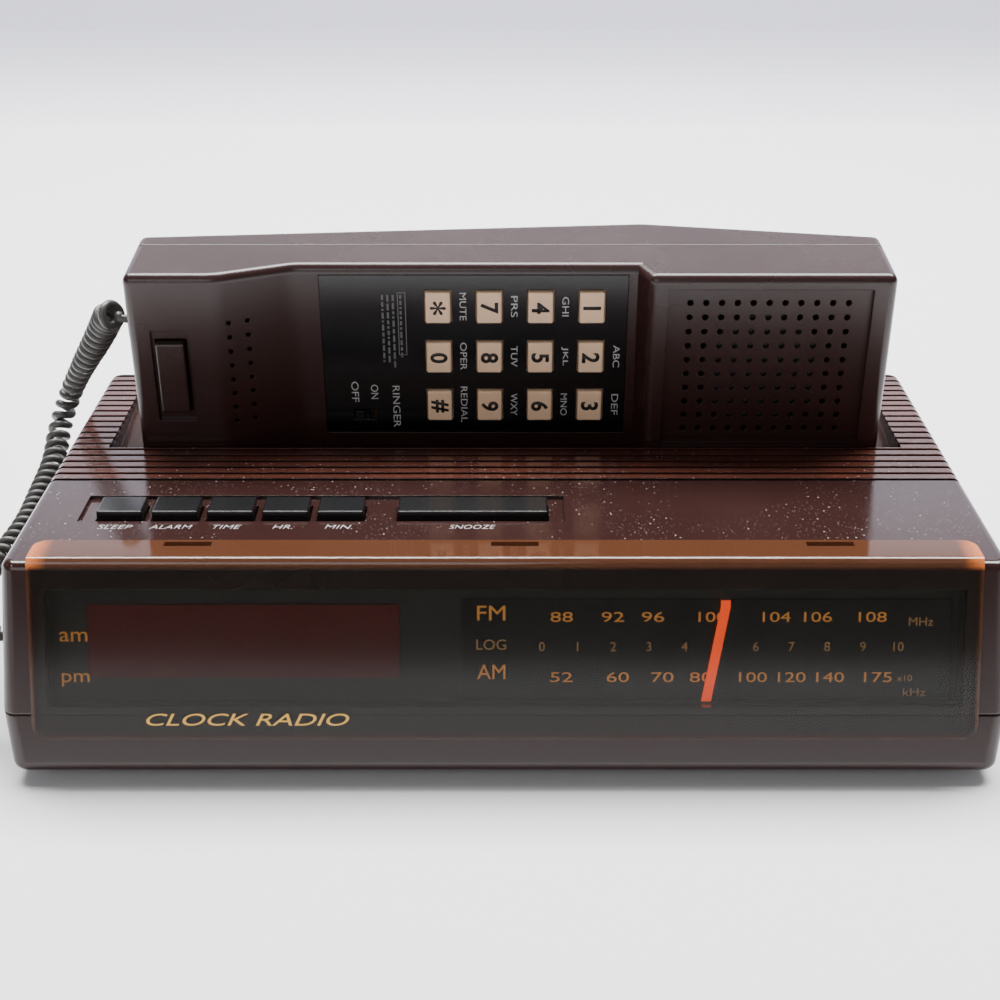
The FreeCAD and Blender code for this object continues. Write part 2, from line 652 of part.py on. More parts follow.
def lower_case():
    outside = tapered(
        "lower_outside",
        ("case_width / 2 - case_bottom_inset", "front_low", "foot_height"),
        ("case_width / 2", "front_part", "part_line"),
        "back_face",
    )
    outside = softened(outside, "corner_round", lambda edge: along(edge, V(0, 0, 1)))
    outside = softened(outside, "edge_round", lambda edge: level(edge, SIZE["foot_height"]))
    parting = number("part_line")
    outside = softened(outside, "seam_round", lambda edge: level(edge, parting))
    inside = tapered(
        "lower_inside",
        (
            "case_width / 2 - case_bottom_inset - case_wall",
            "front_low + case_wall / cos(front_lean) + case_wall * tan(front_lean)",
            "foot_height + case_wall",
        ),
        ("case_width / 2 - case_wall", "front_part + case_wall / cos(front_lean)", "part_line"),
        "back_face - case_wall",
    )
    kept = []
    for i, (x, y) in enumerate(CASE_SCREWS):
        kept.append(rod(f"lower_boss{i}", "boss_radius", (x, y, "foot_height"), "parting_height"))
    for i, (x, y) in enumerate(main_board_corners()):
        kept.append(rod(f"board_post{i}", "post_radius", (x, y, "foot_height"), "main_board_z - foot_height"))
    tools = [cut("lower_hollow", inside, kept)]
    for i, (x, y) in enumerate(CASE_SCREWS):
        tools.append(rod(f"lower_hole{i}", "screw_radius + fixed_gap", (x, y, "0"), "part_line + 1"))
        seat = "foot_height + case_wall + case_screw_seat"
        tools.append(rod(f"counterbore{i}", "head_radius + fixed_gap", (x, y, "0"), seat))
    for i in range(-3, 4):
        y = f"speaker_y + {i} * speaker_slot_pitch"
        reach = 24 - abs(i) * 3
        tools.append(block(
            f"speaker_slot{i + 3}",
            (f"speaker_x - {reach}", f"{y} - speaker_slot / 2", "0"),
            (f"speaker_x + {reach}", f"{y} + speaker_slot / 2", "foot_height + case_wall + 1"),
        ))
    start = ("gland_x", "back_face - case_wall - 1", "gland_z")
    tools.append(rod("gland_hole", "gland_radius", start, "case_wall + 2", "y"))
    finish("lower_case", cut("lower_case", outside, tools))


def main_board_corners():
    return [
        (x, y)
        for x in ("main_board_left + main_board_inset", "main_board_right - main_board_inset")
        for y in ("main_board_front + main_board_inset", "main_board_back - main_board_inset")
    ]


def feet_and_screws():
    feet = []
    for i, (x, y) in enumerate((a, b) for a in ("-foot_x", "foot_x") for b in ("-foot_y", "foot_y")):
        feet.append(rod(f"foot{i}", "foot_radius", (x, y, "0"), "foot_height"))
    finish("rubber_feet", grouped("rubber_feet", feet))
    screws = []
    for i, (x, y) in enumerate(CASE_SCREWS):
        low = "foot_height + case_wall + case_screw_seat - head_height"
        head = rod(f"case_head{i}", "head_radius", (x, y, low), "head_height")
        shank = rod(f"case_shank{i}", "screw_radius", (x, y, low), "head_height + case_screw_length")
        screws.append(fused(f"case_screw{i}", [head, shank]))
    finish("case_screws", grouped("case_screws", screws))


# ---------------------------------------------------------------- dial

def lens_points():
    """The lens from the side: a flange on the strip and a face down the slope, both one thickness."""
    foot_y = "front_low + lens_low * sin(front_lean * 1 deg)"
    foot_z = "foot_height + lens_low * cos(front_lean)"
    near = "fixed_gap"
    far = "(fixed_gap + lens_thick)"
    bend = "tan((90 - front_lean) / 2 * 1 deg)"
    return [
        ("front_top + lens_flange", f"case_top + {near}"),
        (f"front_top - {near} * {bend}", f"case_top + {near}"),
        (f"{foot_y} - {near} * cos(front_lean)", f"{foot_z} + {near} * sin(front_lean * 1 deg)"),
        (f"{foot_y} - {far} * cos(front_lean)", f"{foot_z} + {far} * sin(front_lean * 1 deg)"),
        (f"front_top - {far} * {bend}", f"case_top + {far}"),
        ("front_top + lens_flange", f"case_top + {far}"),
    ]


LATCHES = [-80, 2.5, 82]


def lens():
    body = prism("lens_blank", "YZ_Plane", lens_points(), "-lens_half", "lens_half")
    thick = SIZE["lens_thick"]
    rounded(body, "lens_round", lambda edge: abs(edge.Length - thick) < 0.05 and not along(edge, V(1, 0, 0)))
    outer_z = number("case_top + fixed_gap + lens_thick")
    outer_y = number("front_top - (fixed_gap + lens_thick) * tan((90 - front_lean) / 2 * 1 deg)")

    def on_bend(edge):
        return along(edge, V(1, 0, 0)) and all(
            abs(vertex.Z - outer_z) < 0.05 and abs(vertex.Y - outer_y) < 0.05 for vertex in edge.Vertexes
        )

    rounded(body, "lens_thick", on_bend)
    latches = []
    for i, x in enumerate(LATCHES):
        latches.append(block(
            f"latch_opening{i}",
            (f"{x} - latch_width / 2", "front_top + lens_flange / 2 + 1", "case_top - 1"),
            (f"{x} + latch_width / 2", "front_top + lens_flange / 2 + 1 + latch_depth", "case_top + 10"),
        ))
    finish("dial_lens", cut("dial_lens", body, latches))


def dial_pieces():
    rim = "2"
    tray = block(
        "tray_outside",
        (f"-opening_half - {rim}", "case_wall + fixed_gap", f"opening_low - {rim}"),
        (f"opening_half + {rim}", "dial_depth + dial_thick", f"opening_high + {rim} / 2"),
    )
    room = block(
        "tray_inside",
        ("-opening_half", "0", "opening_low"),
        ("opening_half", "dial_depth", f"opening_high + {rim}"),
    )
    window_hole = block("window_hole", ("led_left", "0", "led_low"), ("led_right", "20", "led_high"))
    finish("dial_panel", cut("dial_panel", tray, [room, window_hole]), "dial")
    window = block(
        "led_window",
        ("led_left", "dial_depth - 0.5", "led_low"),
        ("led_right", "dial_depth + dial_thick - 0.5", "led_high"),
    )
    finish("led_window", window, "dial")
    display = block(
        "led_display",
        ("led_left + 1.5", "dial_depth + dial_thick", "led_low - 1"),
        ("led_right - 1.5", "dial_depth + dial_thick + 5", "led_high + 1"),
    )
    finish("led_display", display, "dial")


def dial_pointer():
    middle = "needle_x"
    half = "needle_width / 2"
    needle = prism(
        "needle",
        "XZ_Plane",
        [
            (f"{middle} - needle_slant - {half}", "needle_low"),
            (f"{middle} - needle_slant + {half}", "needle_low"),
            (f"{middle} + needle_slant + {half}", "needle_high"),
            (f"{middle} + needle_slant - {half}", "needle_high"),
        ],
        "needle_depth",
        "needle_depth + needle_thick",
    )
    neck_top = "(opening_high + 2.4)"
    neck = block(
        "needle_neck",
        (f"{middle} + needle_slant - {half}", "needle_depth", "needle_high"),
        (f"{middle} + needle_slant + {half}", "needle_depth + needle_thick", neck_top),
    )
    bridge = block(
        "needle_bridge",
        (f"{middle} - clamp_half", "needle_depth", f"{neck_top} - 1"),
        (f"{middle} + needle_slant + {half}", "needle_back", neck_top),
    )
    stem = block(
        "needle_stem",
        (f"{middle} - clamp_half", "needle_back - 1.2", "clamp_low"),
        (f"{middle} + clamp_half", "needle_back", neck_top),
    )
    clamp = block(
        "needle_clamp",
        (f"{middle} - clamp_half", "needle_back - 1", "clamp_low"),
        (f"{middle} + clamp_half", "clamp_reach", "clamp_low + 2"),
    )
    finish("dial_pointer", fused("dial_pointer", [needle, neck, bridge, stem, clamp]), "dial")


def tuning_pieces():
    start = ("tuning_x", "tuning_y", "tuning_wheel_z")
    wheel = rod("tuning_rim", "tuning_radius", start, "tuning_wheel_thick")
    drum = rod("dial_drum", "drum_radius", ("tuning_x", "tuning_y", "drum_z"), "drum_thick")
    low = "(main_board_z + board_thick + capacitor_height)"
    start = ("tuning_x", "tuning_y", low)
    shaft = rod("tuning_shaft", "shaft_radius", start, f"drum_z + drum_thick - {low}")
    finish("tuning_wheel", fused("tuning_wheel", [wheel, drum, shaft]))
    finish("tuning_capacitor", block(
        "tuning_capacitor",
        ("tuning_x - capacitor_half", "tuning_y - capacitor_half", "main_board_z + board_thick"),
        ("tuning_x + capacitor_half", "tuning_y + capacitor_half", f"{low} - running_gap"),
    ))
    start = ("0", "pulley_y", "string_z - pulley_thick / 2")
    pulley = rod("idler_disc", "pulley_radius", start, "pulley_thick")
    pulley_hole = rod("idler_bore", "pin_radius + fixed_gap / 2", ("0", "pulley_y", "string_z - 10"), "20")
    finish("idler_pulley", cut("idler_pulley", pulley, [pulley_hole]))
    pin = rod("idler_pin", "pin_radius", ("0", "pulley_y", "string_z - 3.4"), "10")
    pin_head = rod("idler_pin_head", "pin_radius * 2", ("0", "pulley_y", "string_z - 4"), "0.8")
    finish("pulley_pin", fused("pulley_pin", [pin, pin_head]))


def dial_string():
    """The string round the drum and the idler: two straight runs and two arcs, just clear of both."""
    clear = SIZE["running_gap"] + SIZE["string_radius"]
    drum = V(number("tuning_x"), number("tuning_y"), number("string_z"))
    idler = V(0, number("pulley_y"), number("string_z"))
    big = SIZE["drum_radius"] + clear
    small = SIZE["pulley_radius"] + clear
    between = drum - idler
    heading = math.atan2(between.y, between.x)
    spread = math.asin((big - small) / between.Length)

    def at(centre, radius, angle):
        return centre + V(radius * math.cos(angle), radius * math.sin(angle), 0)

    left = heading + math.pi / 2 + spread
    right = heading - math.pi / 2 - spread
    far = heading + math.pi
    path = Part.Wire([
        Part.LineSegment(at(idler, small, right), at(drum, big, right)).toShape(),
        Part.Arc(at(drum, big, right), at(drum, big, heading), at(drum, big, left)).toShape(),
        Part.LineSegment(at(drum, big, left), at(idler, small, left)).toShape(),
        Part.Arc(at(idler, small, left), at(idler, small, far), at(idler, small, right)).toShape(),
    ])
    ahead = (at(drum, big, right) - at(idler, small, right)).normalize()
    section = Part.Wire(Part.Circle(at(idler, small, right), ahead, SIZE["string_radius"]).toShape())
    item = doc.addObject("Part::Feature", "dial_string")
    item.Shape = path.makePipeShell([section], True, False)
    finish("dial_string", item)


# ---------------------------------------------------------------- controls

def clock_buttons():
    for label, x, width in button_places():
        cap = block(
            label + "_cap",
            (f"{x} - {width} / 2", "button_front", "button_low"),
            (f"{x} + {width} / 2", "button_back", "case_top + button_rise"),
        )
        top = "case_top - case_wall - running_gap"
        side = f"({width} / 2 + flange_width * 0.8)"
        flange = block(
            label + "_flange",
            (f"{x} - {side}", "button_front - flange_width", f"{top} - flange_thick"),
            (f"{x} + {side}", "button_back + flange_width", top),
        )
        finish(label, fused(label, [cap, flange]))


def side_controls():
    volume_disc = rod("volume_disc", "volume_radius", ("volume_x", "volume_y", "volume_z"), "volume_thick")
    low = "(main_board_z + board_thick + volume_control_height)"
    volume_shaft = rod("volume_shaft", "shaft_radius", ("volume_x", "volume_y", low), f"volume_z - {low}")
    finish("volume_wheel", fused("volume_wheel", [volume_disc, volume_shaft]))
    finish("volume_control", block(
        "volume_control",
        ("volume_x - 7", "volume_y - volume_control_half", "main_board_z + board_thick"),
        ("case_width / 2 - case_wall - 4", "volume_y + volume_control_half", f"{low} - running_gap"),
    ))
    for name in ("band", "function"):
        slide_switch(f"{name}_switch", f"({name}_y - {name}_travel / 2)")


def slide_switch(label, y):
    """A side switch with its knob at the front end of its slot and a plate behind the wall."""
    wall = "(case_width / 2 - case_wall)"
    knob = block(
        label + "_knob",
        (f"{wall} - 3", f"{y} - switch_knob / 2", "switch_z - switch_thick / 2"),
        (
            "case_width / 2 - wheel_setback - running_gap",
            f"{y} + switch_knob / 2",
            "switch_z + switch_thick / 2",
        ),
    )
    plate = block(
        label + "_plate",
        (f"{wall} - 4.2", f"{y} - switch_knob / 2 - switch_cover", "switch_z - switch_thick / 2 - 2"),
        (f"{wall} - 1.2", f"{y} + switch_knob / 2 + switch_cover", "switch_z + switch_thick / 2 + 2"),
    )
    finish(label, fused(label, [knob, plate]))


def boards():
    finish("main_board", block(
        "main_board",
        ("main_board_left", "main_board_front", "main_board_z"),
        ("main_board_right", "main_board_back", "main_board_z + board_thick"),
    ))
    board_top = "(clock_board_z + board_thick)"
    board = block(
        "clock_plate",
        ("clock_board_left", "button_front - clock_board_margin", "clock_board_z"),
        ("clock_board_right", "button_back + clock_board_margin", board_top),
    )
    parts = [board]
    middle = "(button_front + button_back) / 2"
    for label, x, width in button_places():
        parts.append(block(
            label + "_tact",
            (f"{x} - tact_width / 2", f"{middle} - tact_width / 2", board_top),
            (f"{x} + tact_width / 2", f"{middle} + tact_width / 2", f"{board_top} + tact_height"),
        ))
    finish("clock_board", fused("clock_board", parts))


# ---------------------------------------------------------------- inside the base

def cone(name, base_radius, top_radius, start, height):
    item = doc.addObject("Part::Cone", name)
    bind(item, "Radius1", base_radius)
    bind(item, "Radius2", top_radius)
    bind(item, "Height", height)
    for axis, formula in zip("xyz", start):
        bind(item, f"Placement.Base.{axis}", formula)
    return item


def inner_parts():
    floor = "(foot_height + case_wall)"
    right = "transformer_left + transformer_width"
    back = "transformer_front + transformer_depth"
    core = block(
        "transformer_core",
        ("transformer_left", "transformer_front", floor),
        (right, back, f"{floor} + transformer_height"),
    )
    notch = block(
        "transformer_windings",
        ("transformer_left - 1", "transformer_front + transformer_notch", f"{floor} + transformer_notch"),
        (
            "transformer_left + transformer_notch",
            f"{back} - transformer_notch",
            f"{floor} + transformer_height - transformer_notch",
        ),
    )
    finish("transformer", cut("transformer", core, [notch]))
    place = ("speaker_x", "speaker_y")
    basket_low = f"{floor} + speaker_rim_height"
    basket_top = f"{basket_low} + basket_height"
    rim = rod("speaker_rim", "speaker_radius", (*place, floor), "speaker_rim_height")
    outer = "speaker_radius - 3"
    inner = "speaker_radius - 4.5"
    basket = cone("speaker_basket", outer, "magnet_radius", (*place, basket_low), "basket_height")
    magnet = rod("speaker_magnet", "magnet_radius", (*place, basket_top), "magnet_height")
    mouth = cone("speaker_mouth", inner, "magnet_radius - 6", (*place, floor), "basket_height + 1")
    finish("speaker", cut("speaker", fused("speaker_body", [rim, basket, magnet]), [mouth]))
    start = ("rod_left", "rod_y", "rod_z")
    finish("ferrite_antenna", rod("ferrite_antenna", "rod_radius", start, "rod_length", "x"))
    finish("backup_battery", block(
        "backup_battery",
        ("battery_left", "back_face - case_wall - battery_depth", "battery_z"),
        ("battery_left + battery_length", "back_face - case_wall", "battery_z + battery_height"),
    ))
    finish("battery_door", block(
        "battery_door",
        ("battery_left - door_margin", "back_face - case_wall + running_gap", "battery_z - door_margin"),
        (
            "battery_left + battery_length + door_margin",
            "back_face",
            "battery_z + battery_height + door_margin",
        ),
    ))


def plug_room(name, length):
    """The hole that a modular plug goes into, open towards -X."""
    return block(
        name,
        ("-case_width", "jack_y - plug_width / 2 - fixed_gap", "jack_z - plug_height / 2 - fixed_gap"),
        (length, "jack_y + plug_width / 2 + fixed_gap", "jack_z + plug_height / 2 + fixed_gap"),
    )


def connectors():
    outer = "(-case_width / 2 + case_top_inset - jack_setback)"
    housing = block(
        "handset_jack_body",
        (outer, "jack_y - jack_size / 2", "jack_z - jack_size / 2"),
        (f"{outer} + jack_depth", "jack_y + jack_size / 2", "jack_z + jack_size / 2"),
    )
    room = plug_room("handset_jack_room", f"{outer} + plug_in + fixed_gap")
    finish("handset_jack", cut("handset_jack", housing, [room]))
    finish("plug_base", block(
        "plug_base",
        (f"{outer} - plug_out", "jack_y - plug_width / 2", "jack_z - plug_height / 2"),
        (f"{outer} + plug_in", "jack_y + plug_width / 2", "jack_z + plug_height / 2"),
    ))
    line_body = block(
        "line_jack_body",
        ("line_x - jack_size / 2", "back_face - jack_depth", "line_z - jack_size / 2"),
        ("line_x + jack_size / 2", "back_face - jack_setback", "line_z + jack_size / 2"),
    )
    line_room = block(
        "line_jack_room",
        ("line_x - line_plug_width / 2", "back_face - line_plug_depth", "line_z - plug_height / 2"),
        ("line_x + line_plug_width / 2", "back_face + 1", "line_z + plug_height / 2"),
    )
    finish("line_jack", cut("line_jack", line_body, [line_room]))
    inner = "back_face - case_wall"
    collar = rod("gland_collar", "gland_radius + 1.5", ("gland_x", f"{inner} - 2", "gland_z"), "2", "y")
    neck = rod("gland_neck", "gland_radius", ("gland_x", f"{inner} - 1", "gland_z"), "case_wall + 1.6", "y")
    bore = rod("gland_bore", "gland_radius / 2", ("gland_x", "back_face - 10", "gland_z"), "20", "y")
    finish("mains_gland", cut("mains_gland", fused("gland_body", [collar, neck]), [bore]))


def cradle_plunger():
    """The plunger that the handset holds down, with room above its flange for it to spring up."""
    flange_top = "(running_gap * 2 + case_wall + plunger_travel)"
    low = f"({flange_top} + 3.5)"
    place = ("plunger_x", "plunger_y")
    stem = rod("plunger_stem", "plunger_radius", (*place, f"-{low}"), f"{low} - running_gap")
    flange = rod("plunger_flange", "plunger_radius + 1.2", (*place, f"-({flange_top} + 1.5)"), "1.5")
    finish("cradle_plunger", fused("cradle_plunger", [stem, flange]), "handset")


# ---------------------------------------------------------------- handset

def handset_points(inset, back):
    """The handset seen from above, along its length: its front shell, or its back shell."""
    left = f"(-handset_left + {inset})"
    right = f"(handset_right - {inset})"
    if back:
        return [
            (left, "handset_split"),
            (right, "handset_split"),
            (right, f"handset_end_depth - {inset}"),
            ("ridge_x", f"handset_ridge_depth - {inset}"),
            (left, f"handset_end_depth - {inset}"),
        ]
    return [
        (left, f"{inset}"),
        (f"mouth_end - {inset} * 0.2", f"{inset}"),
        (f"face_start - {inset} * 0.2", f"face_drop + {inset}"),
        (f"face_end + {inset} * 0.7", f"face_drop + {inset}"),
        (f"ear_start + {inset} * 0.7", f"{inset}"),
        (right, f"{inset}"),
        (right, "handset_split"),
        (left, "handset_split"),
    ]


HANDSET_SCREWS = [("mouth_screw_x", "mouth_screw_z"), ("ear_screw_x", "ear_screw_z")]


def on_split(edge):
    return all(abs(vertex.Y - SIZE["handset_split"]) < 0.01 for vertex in edge.Vertexes)


def front_edge(edge):
    """The long edges of the front shell, and the upright ones at its two ends and at the earpiece's step."""
    if level(edge, 0) or level(edge, SIZE["handset_width"]):
        return not on_split(edge)
    x, y = edge.Vertexes[0].X, edge.Vertexes[0].Y
    corners = (-SIZE["handset_left"], SIZE["handset_right"], SIZE["ear_start"])
    upright = along(edge, V(0, 0, 1), 0.01)
    return upright and abs(y) < 0.01 and any(abs(x - corner) < 0.01 for corner in corners)


def slope_crease(edge):
    """The two creases where the mouthpiece end slopes back to the keypad face."""
    places = (SIZE["mouth_end"], 0), (SIZE["face_start"], SIZE["face_drop"])
    x, y = edge.Vertexes[0].X, edge.Vertexes[0].Y
    return along(edge, V(0, 0, 1), 0.01) and any(abs(x - u) + abs(y - w) < 0.01 for u, w in places)


def back_edge(edge):
    ridge = all(abs(vertex.X - SIZE["ridge_x"]) < 0.01 for vertex in edge.Vertexes)
    return not on_split(edge) and not ridge


def shell_room(name, back):
    points = handset_points("handset_wall", back)
    return prism(name, "XY_Plane", points, "handset_wall", "handset_width - handset_wall")


def front_shell():
    shell = prism("front_blank", "XY_Plane", handset_points("0", False), "0", "handset_width")
    rounded(shell, "face_blend", slope_crease)
    rounded(shell, "handset_round", front_edge)
    rounded(shell, "seam_round", on_split)
    room = shell_room("front_room", False)
    ear_wall = block(
        "ear_wall",
        ("ear_start + handset_wall", "0", "0"),
        ("handset_right", "ear_drop + handset_wall", "handset_width"),
    )
    bosses = []
    for i, (x, z) in enumerate(HANDSET_SCREWS):
        bosses.append(rod(f"front_boss{i}", "front_boss_radius", (x, "0", z), "handset_split", "y"))
    tools = [cut("front_hollow", room, [ear_wall] + bosses)]
    tools.append(block(
        "panel_seat",
        ("panel_left - fixed_gap", "0", "panel_low - fixed_gap"),
        ("panel_right + fixed_gap", "face_drop + panel_thick", "panel_high + fixed_gap"),
    ))
    tools.append(block(
        "key_window",
        ("panel_left + panel_lip", "0", "panel_low + panel_lip"),
        ("panel_right - panel_lip", "face_drop + 5", "panel_high - panel_lip"),
    ))
    tools.append(block("ear_recess", ("ear_left", "-1", "ear_low"), ("ear_right", "ear_drop", "ear_high")))
    tools.append(block(
        "hook_recess",
        ("hook_left - hook_margin_x", "-1", "hook_low - hook_margin_z"),
        ("hook_right + hook_margin_x", "hook_recess", "hook_high + hook_margin_z"),
    ))
    tools.append(block(
        "hook_hole",
        ("hook_left - running_gap", "-1", "hook_low - running_gap"),
        ("hook_right + running_gap", "handset_wall + 1", "hook_high + running_gap"),
    ))
    for i, (x, z) in enumerate(HANDSET_SCREWS):
        start = (x, "handset_split - handset_screw_length - 2", z)
        tools.append(rod(f"front_pilot{i}", "screw_radius", start, "handset_split", "y"))
    tools.append(block(
        "handset_plug_hole",
        ("-handset_left - 1", "plug_y - plug_width / 2 - fixed_gap", "plug_z - plug_height / 2 - fixed_gap"),
        ("-handset_left + 3", "plug_y + plug_width / 2 + fixed_gap", "plug_z + plug_height / 2 + fixed_gap"),
    ))
    tools += grille_holes() + mouth_holes()
    finish("handset_front", cut("handset_front", shell, tools), "handset")


def grille_holes():
    """Earpiece holes, 11 along and 10 across."""
    holes = []
    for i in range(11):
        for j in range(10):
            x = f"(ear_left + ear_right) / 2 + {i - 5} * grille_pitch"
            z = f"(ear_low + ear_high) / 2 + {j - 4.5} * grille_pitch"
            start = (x, "-1", z)
            holes.append(rod(f"ear_hole{i}_{j}", "grille_hole", start, "handset_wall + ear_drop + 2", "y"))
    return [grouped("ear_holes", holes)]


def mouth_holes():
    """Mouthpiece holes, 2 along and 8 across, on the slope."""
    holes = []
    for i in range(2):
        for j in range(8):
            x = f"mouth_end + 3.2 + {i} * 5"
            z = f"handset_width / 2 + {j - 3.5} * grille_pitch"
            holes.append(rod(f"mouth_hole{i}_{j}", "mic_hole", (x, "-1", z), "10", "y"))
    return [grouped("mouth_holes", holes)]


def back_shell():
    shell = prism("back_blank", "XY_Plane", handset_points("0", True), "0", "handset_width")
    rounded(shell, "handset_round", back_edge)
    rounded(shell, "seam_round", on_split)
    room = shell_room("back_room", True)
    bosses = []
    for i, (x, z) in enumerate(HANDSET_SCREWS):
        bosses.append(rod(f"back_boss{i}", "back_boss_radius", (x, "handset_split", z), "20", "y"))
    tools = [cut("back_hollow", room, bosses)]
    for i, (x, z) in enumerate(HANDSET_SCREWS):
        tools.append(rod(f"back_hole{i}", "screw_radius + fixed_gap", (x, "handset_split - 1", z), "20", "y"))
        seat = (x, "handset_split + handset_screw_seat", z)
        tools.append(rod(f"back_counterbore{i}", "head_radius + fixed_gap", seat, "30", "y"))
    finish("handset_back", cut("handset_back", shell, tools), "handset")


def key_places():
    """(label, x, z) of each key: the handset lies on its side, so its columns run along X."""
    names = ("star", "0", "hash"), ("7", "8", "9"), ("4", "5", "6"), ("1", "2", "3")
    for i, column in enumerate(names):
        for j, name in enumerate(column):
            yield f"key_{name}", f"key_x + {i} * key_pitch_x", f"key_z - {j} * key_pitch_z"


def keypad():
    holes = []
    for label, x, z in key_places():
        holes.append(block(
            label + "_hole",
            (f"{x} - key_width / 2 - running_gap", "0", f"{z} - key_height / 2 - running_gap"),
            (f"{x} + key_width / 2 + running_gap", "20", f"{z} + key_height / 2 + running_gap"),
        ))
        cap = block(
            label + "_cap",
            (f"{x} - key_width / 2", "face_drop - key_rise", f"{z} - key_height / 2"),
            (f"{x} + key_width / 2", "face_drop + key_depth", f"{z} + key_height / 2"),
        )
        under = "face_drop + panel_thick + running_gap"
        wide = "(key_width / 2 + flange_width)"
        tall = "(key_height / 2 + flange_width)"
        flange = block(
            label + "_flange",
            (f"{x} - {wide}", under, f"{z} - {tall}"),
            (f"{x} + {wide}", f"{under} + flange_thick", f"{z} + {tall}"),
        )
        finish(label, fused(label, [cap, flange]), "handset")
    room = "(ringer_knob / 2 + running_gap)"
    holes.append(block(
        "ringer_slot",
        (f"ringer_x - {room}", "0", f"ringer_z - {room}"),
        (f"ringer_x + ringer_travel + {room}", "20", f"ringer_z + {room}"),
    ))
    plate = block(
        "panel_plate",
        ("panel_left", "face_drop", "panel_low"),
        ("panel_right", "face_drop + panel_thick", "panel_high"),
    )
    finish("keypad_panel", cut("keypad_panel", plate, holes), "handset")
    back = "face_drop + key_depth + key_travel + running_gap"
    finish("key_mat", block(
        "key_mat",
        ("key_x - key_pitch_x / 2", back, "panel_low + panel_lip"),
        ("panel_right - panel_lip", f"{back} + mat_thick", "panel_high - panel_lip"),
    ), "handset")
    finish("keypad_board", block(
        "keypad_board",
        ("panel_left", f"{back} + mat_thick", "handset_wall + 1"),
        ("panel_right + 2", f"{back} + mat_thick + board_thick", "handset_width - handset_wall - 1"),
    ), "handset")


def handset_parts():
    bar = block(
        "hook_cap",
        ("hook_left", "-hook_rise", "hook_low"),
        ("hook_right", "handset_wall + 2.6", "hook_high"),
    )
    flange = block(
        "hook_flange",
        ("hook_left - flange_width", "handset_wall + running_gap", "hook_low - flange_width"),
        (
            "hook_right + flange_width",
            "handset_wall + running_gap + flange_thick",
            "hook_high + flange_width",
        ),
    )
    finish("hook_bar", fused("hook_bar", [bar, flange]), "handset")
    half = "ringer_knob / 2"
    back = "face_drop + panel_thick + 2"
    knob = block(
        "ringer_cap",
        (f"ringer_x - {half}", "face_drop - 0.6", f"ringer_z - {half}"),
        (f"ringer_x + {half}", back, f"ringer_z + {half}"),
    )
    slider = block(
        "ringer_slider",
        (f"ringer_x - {half} - 1.2", "face_drop + panel_thick + running_gap", f"ringer_z - {half} - 1"),
        (f"ringer_x + {half} + 1.2", back, f"ringer_z + {half} + 1"),
    )
    finish("ringer_switch", fused("ringer_switch", [knob, slider]), "handset")
    middle = "handset_width / 2"
    start = ("capsule_x", "ear_drop + handset_wall", middle)
    capsule = rod("earpiece_capsule", "capsule_radius", start, "capsule_depth", "y")
    finish("earpiece_capsule", capsule, "handset")
    start = ("microphone_x", "face_drop + 0.6", middle)
    finish("microphone", rod("microphone", "microphone_radius", start, "microphone_depth", "y"), "handset")
    screws = []
    for i, (x, z) in enumerate(HANDSET_SCREWS):
        seat = (x, "handset_split + handset_screw_seat", z)
        tip = (x, "handset_split - handset_screw_length", z)
        head = rod(f"handset_head{i}", "head_radius", seat, "head_height", "y")
        length = "handset_screw_length + handset_screw_seat"
        shank = rod(f"handset_shank{i}", "screw_radius", tip, length, "y")
        screws.append(fused(f"handset_screw{i}", [head, shank]))
    finish("handset_screws", grouped("handset_screws", screws), "handset")
    finish("plug_handset", block(
        "plug_handset",
        ("-handset_left - plug_out", "plug_y - plug_width / 2", "plug_z - plug_height / 2"),
        ("-handset_left + plug_in", "plug_y + plug_width / 2", "plug_z + plug_height / 2"),
    ), "handset")


# ---------------------------------------------------------------- curly cord

# From the handset's plug, over the rear left corner, forward beside the base and into the jack.
CORD_ROUTE = [
    (-106.6, 21.8, 91.3),
    (-113.0, 21.8, 91.3),
    (-118.8, 27.0, 86.5),
    (-122.5, 36.0, 77.5),
    (-127.5, 46.0, 67.0),
    (-134.0, 55.0, 56.5),
    (-138.0, 52.0, 45.5),
    (-137.0, 38.0, 39.0),
    (-137.5, 21.0, 36.5),
    (-137.0, 3.0, 35.5),
    (-139.5, -15.0, 34.0),
    (-145.5, -28.0, 32.0),
    (-147.5, -39.0, 30.2),
    (-144.0, -46.5, 29.4),
    (-136.0, -50.0, 29.0),
    (-128.3, -50.0, 29.0),
]


def tube_path(points):
    """Straight runs joined by tangent arcs, each as large as its two runs allow."""
    points = [V(*point) for point in points]
    edges = []
    start = points[0]
    for before, corner, after in zip(points, points[1:], points[2:]):
        back = before - corner
        ahead = after - corner
        shorter = min(back.Length, ahead.Length)
        back.normalize()
        ahead.normalize()
        turn = math.pi - back.getAngle(ahead)
        trim = 0.45 * shorter
        radius = trim / math.tan(turn / 2)
        first = corner + back * trim
        last = corner + ahead * trim
        inward = (back + ahead).normalize()
        middle = corner + inward * (radius / math.cos(turn / 2) - radius)
        edges.append(Part.LineSegment(start, first).toShape())
        edges.append(Part.Arc(first, middle, last).toShape())
        start = last
    edges.append(Part.LineSegment(start, points[-1]).toShape())
    return Part.Wire(edges)


def handset_cord():
    path = tube_path(CORD_ROUTE)
    first = V(*CORD_ROUTE[0])
    ahead = (V(*CORD_ROUTE[1]) - first).normalize()
    radius = SIZE["cord_radius"]
    section = Part.Wire(Part.Circle(first, ahead, radius).toShape())
    tube = path.makePipeShell([section], True, False)
    expected = math.pi * radius ** 2 * path.Length
    print(f"cord path {path.Length:.1f} mm, volume {tube.Volume:.0f}, section times length {expected:.0f}")
    item = doc.addObject("Part::Feature", "handset_cord")
    item.Shape = tube
    finish("handset_cord", item)


# ---------------------------------------------------------------- build

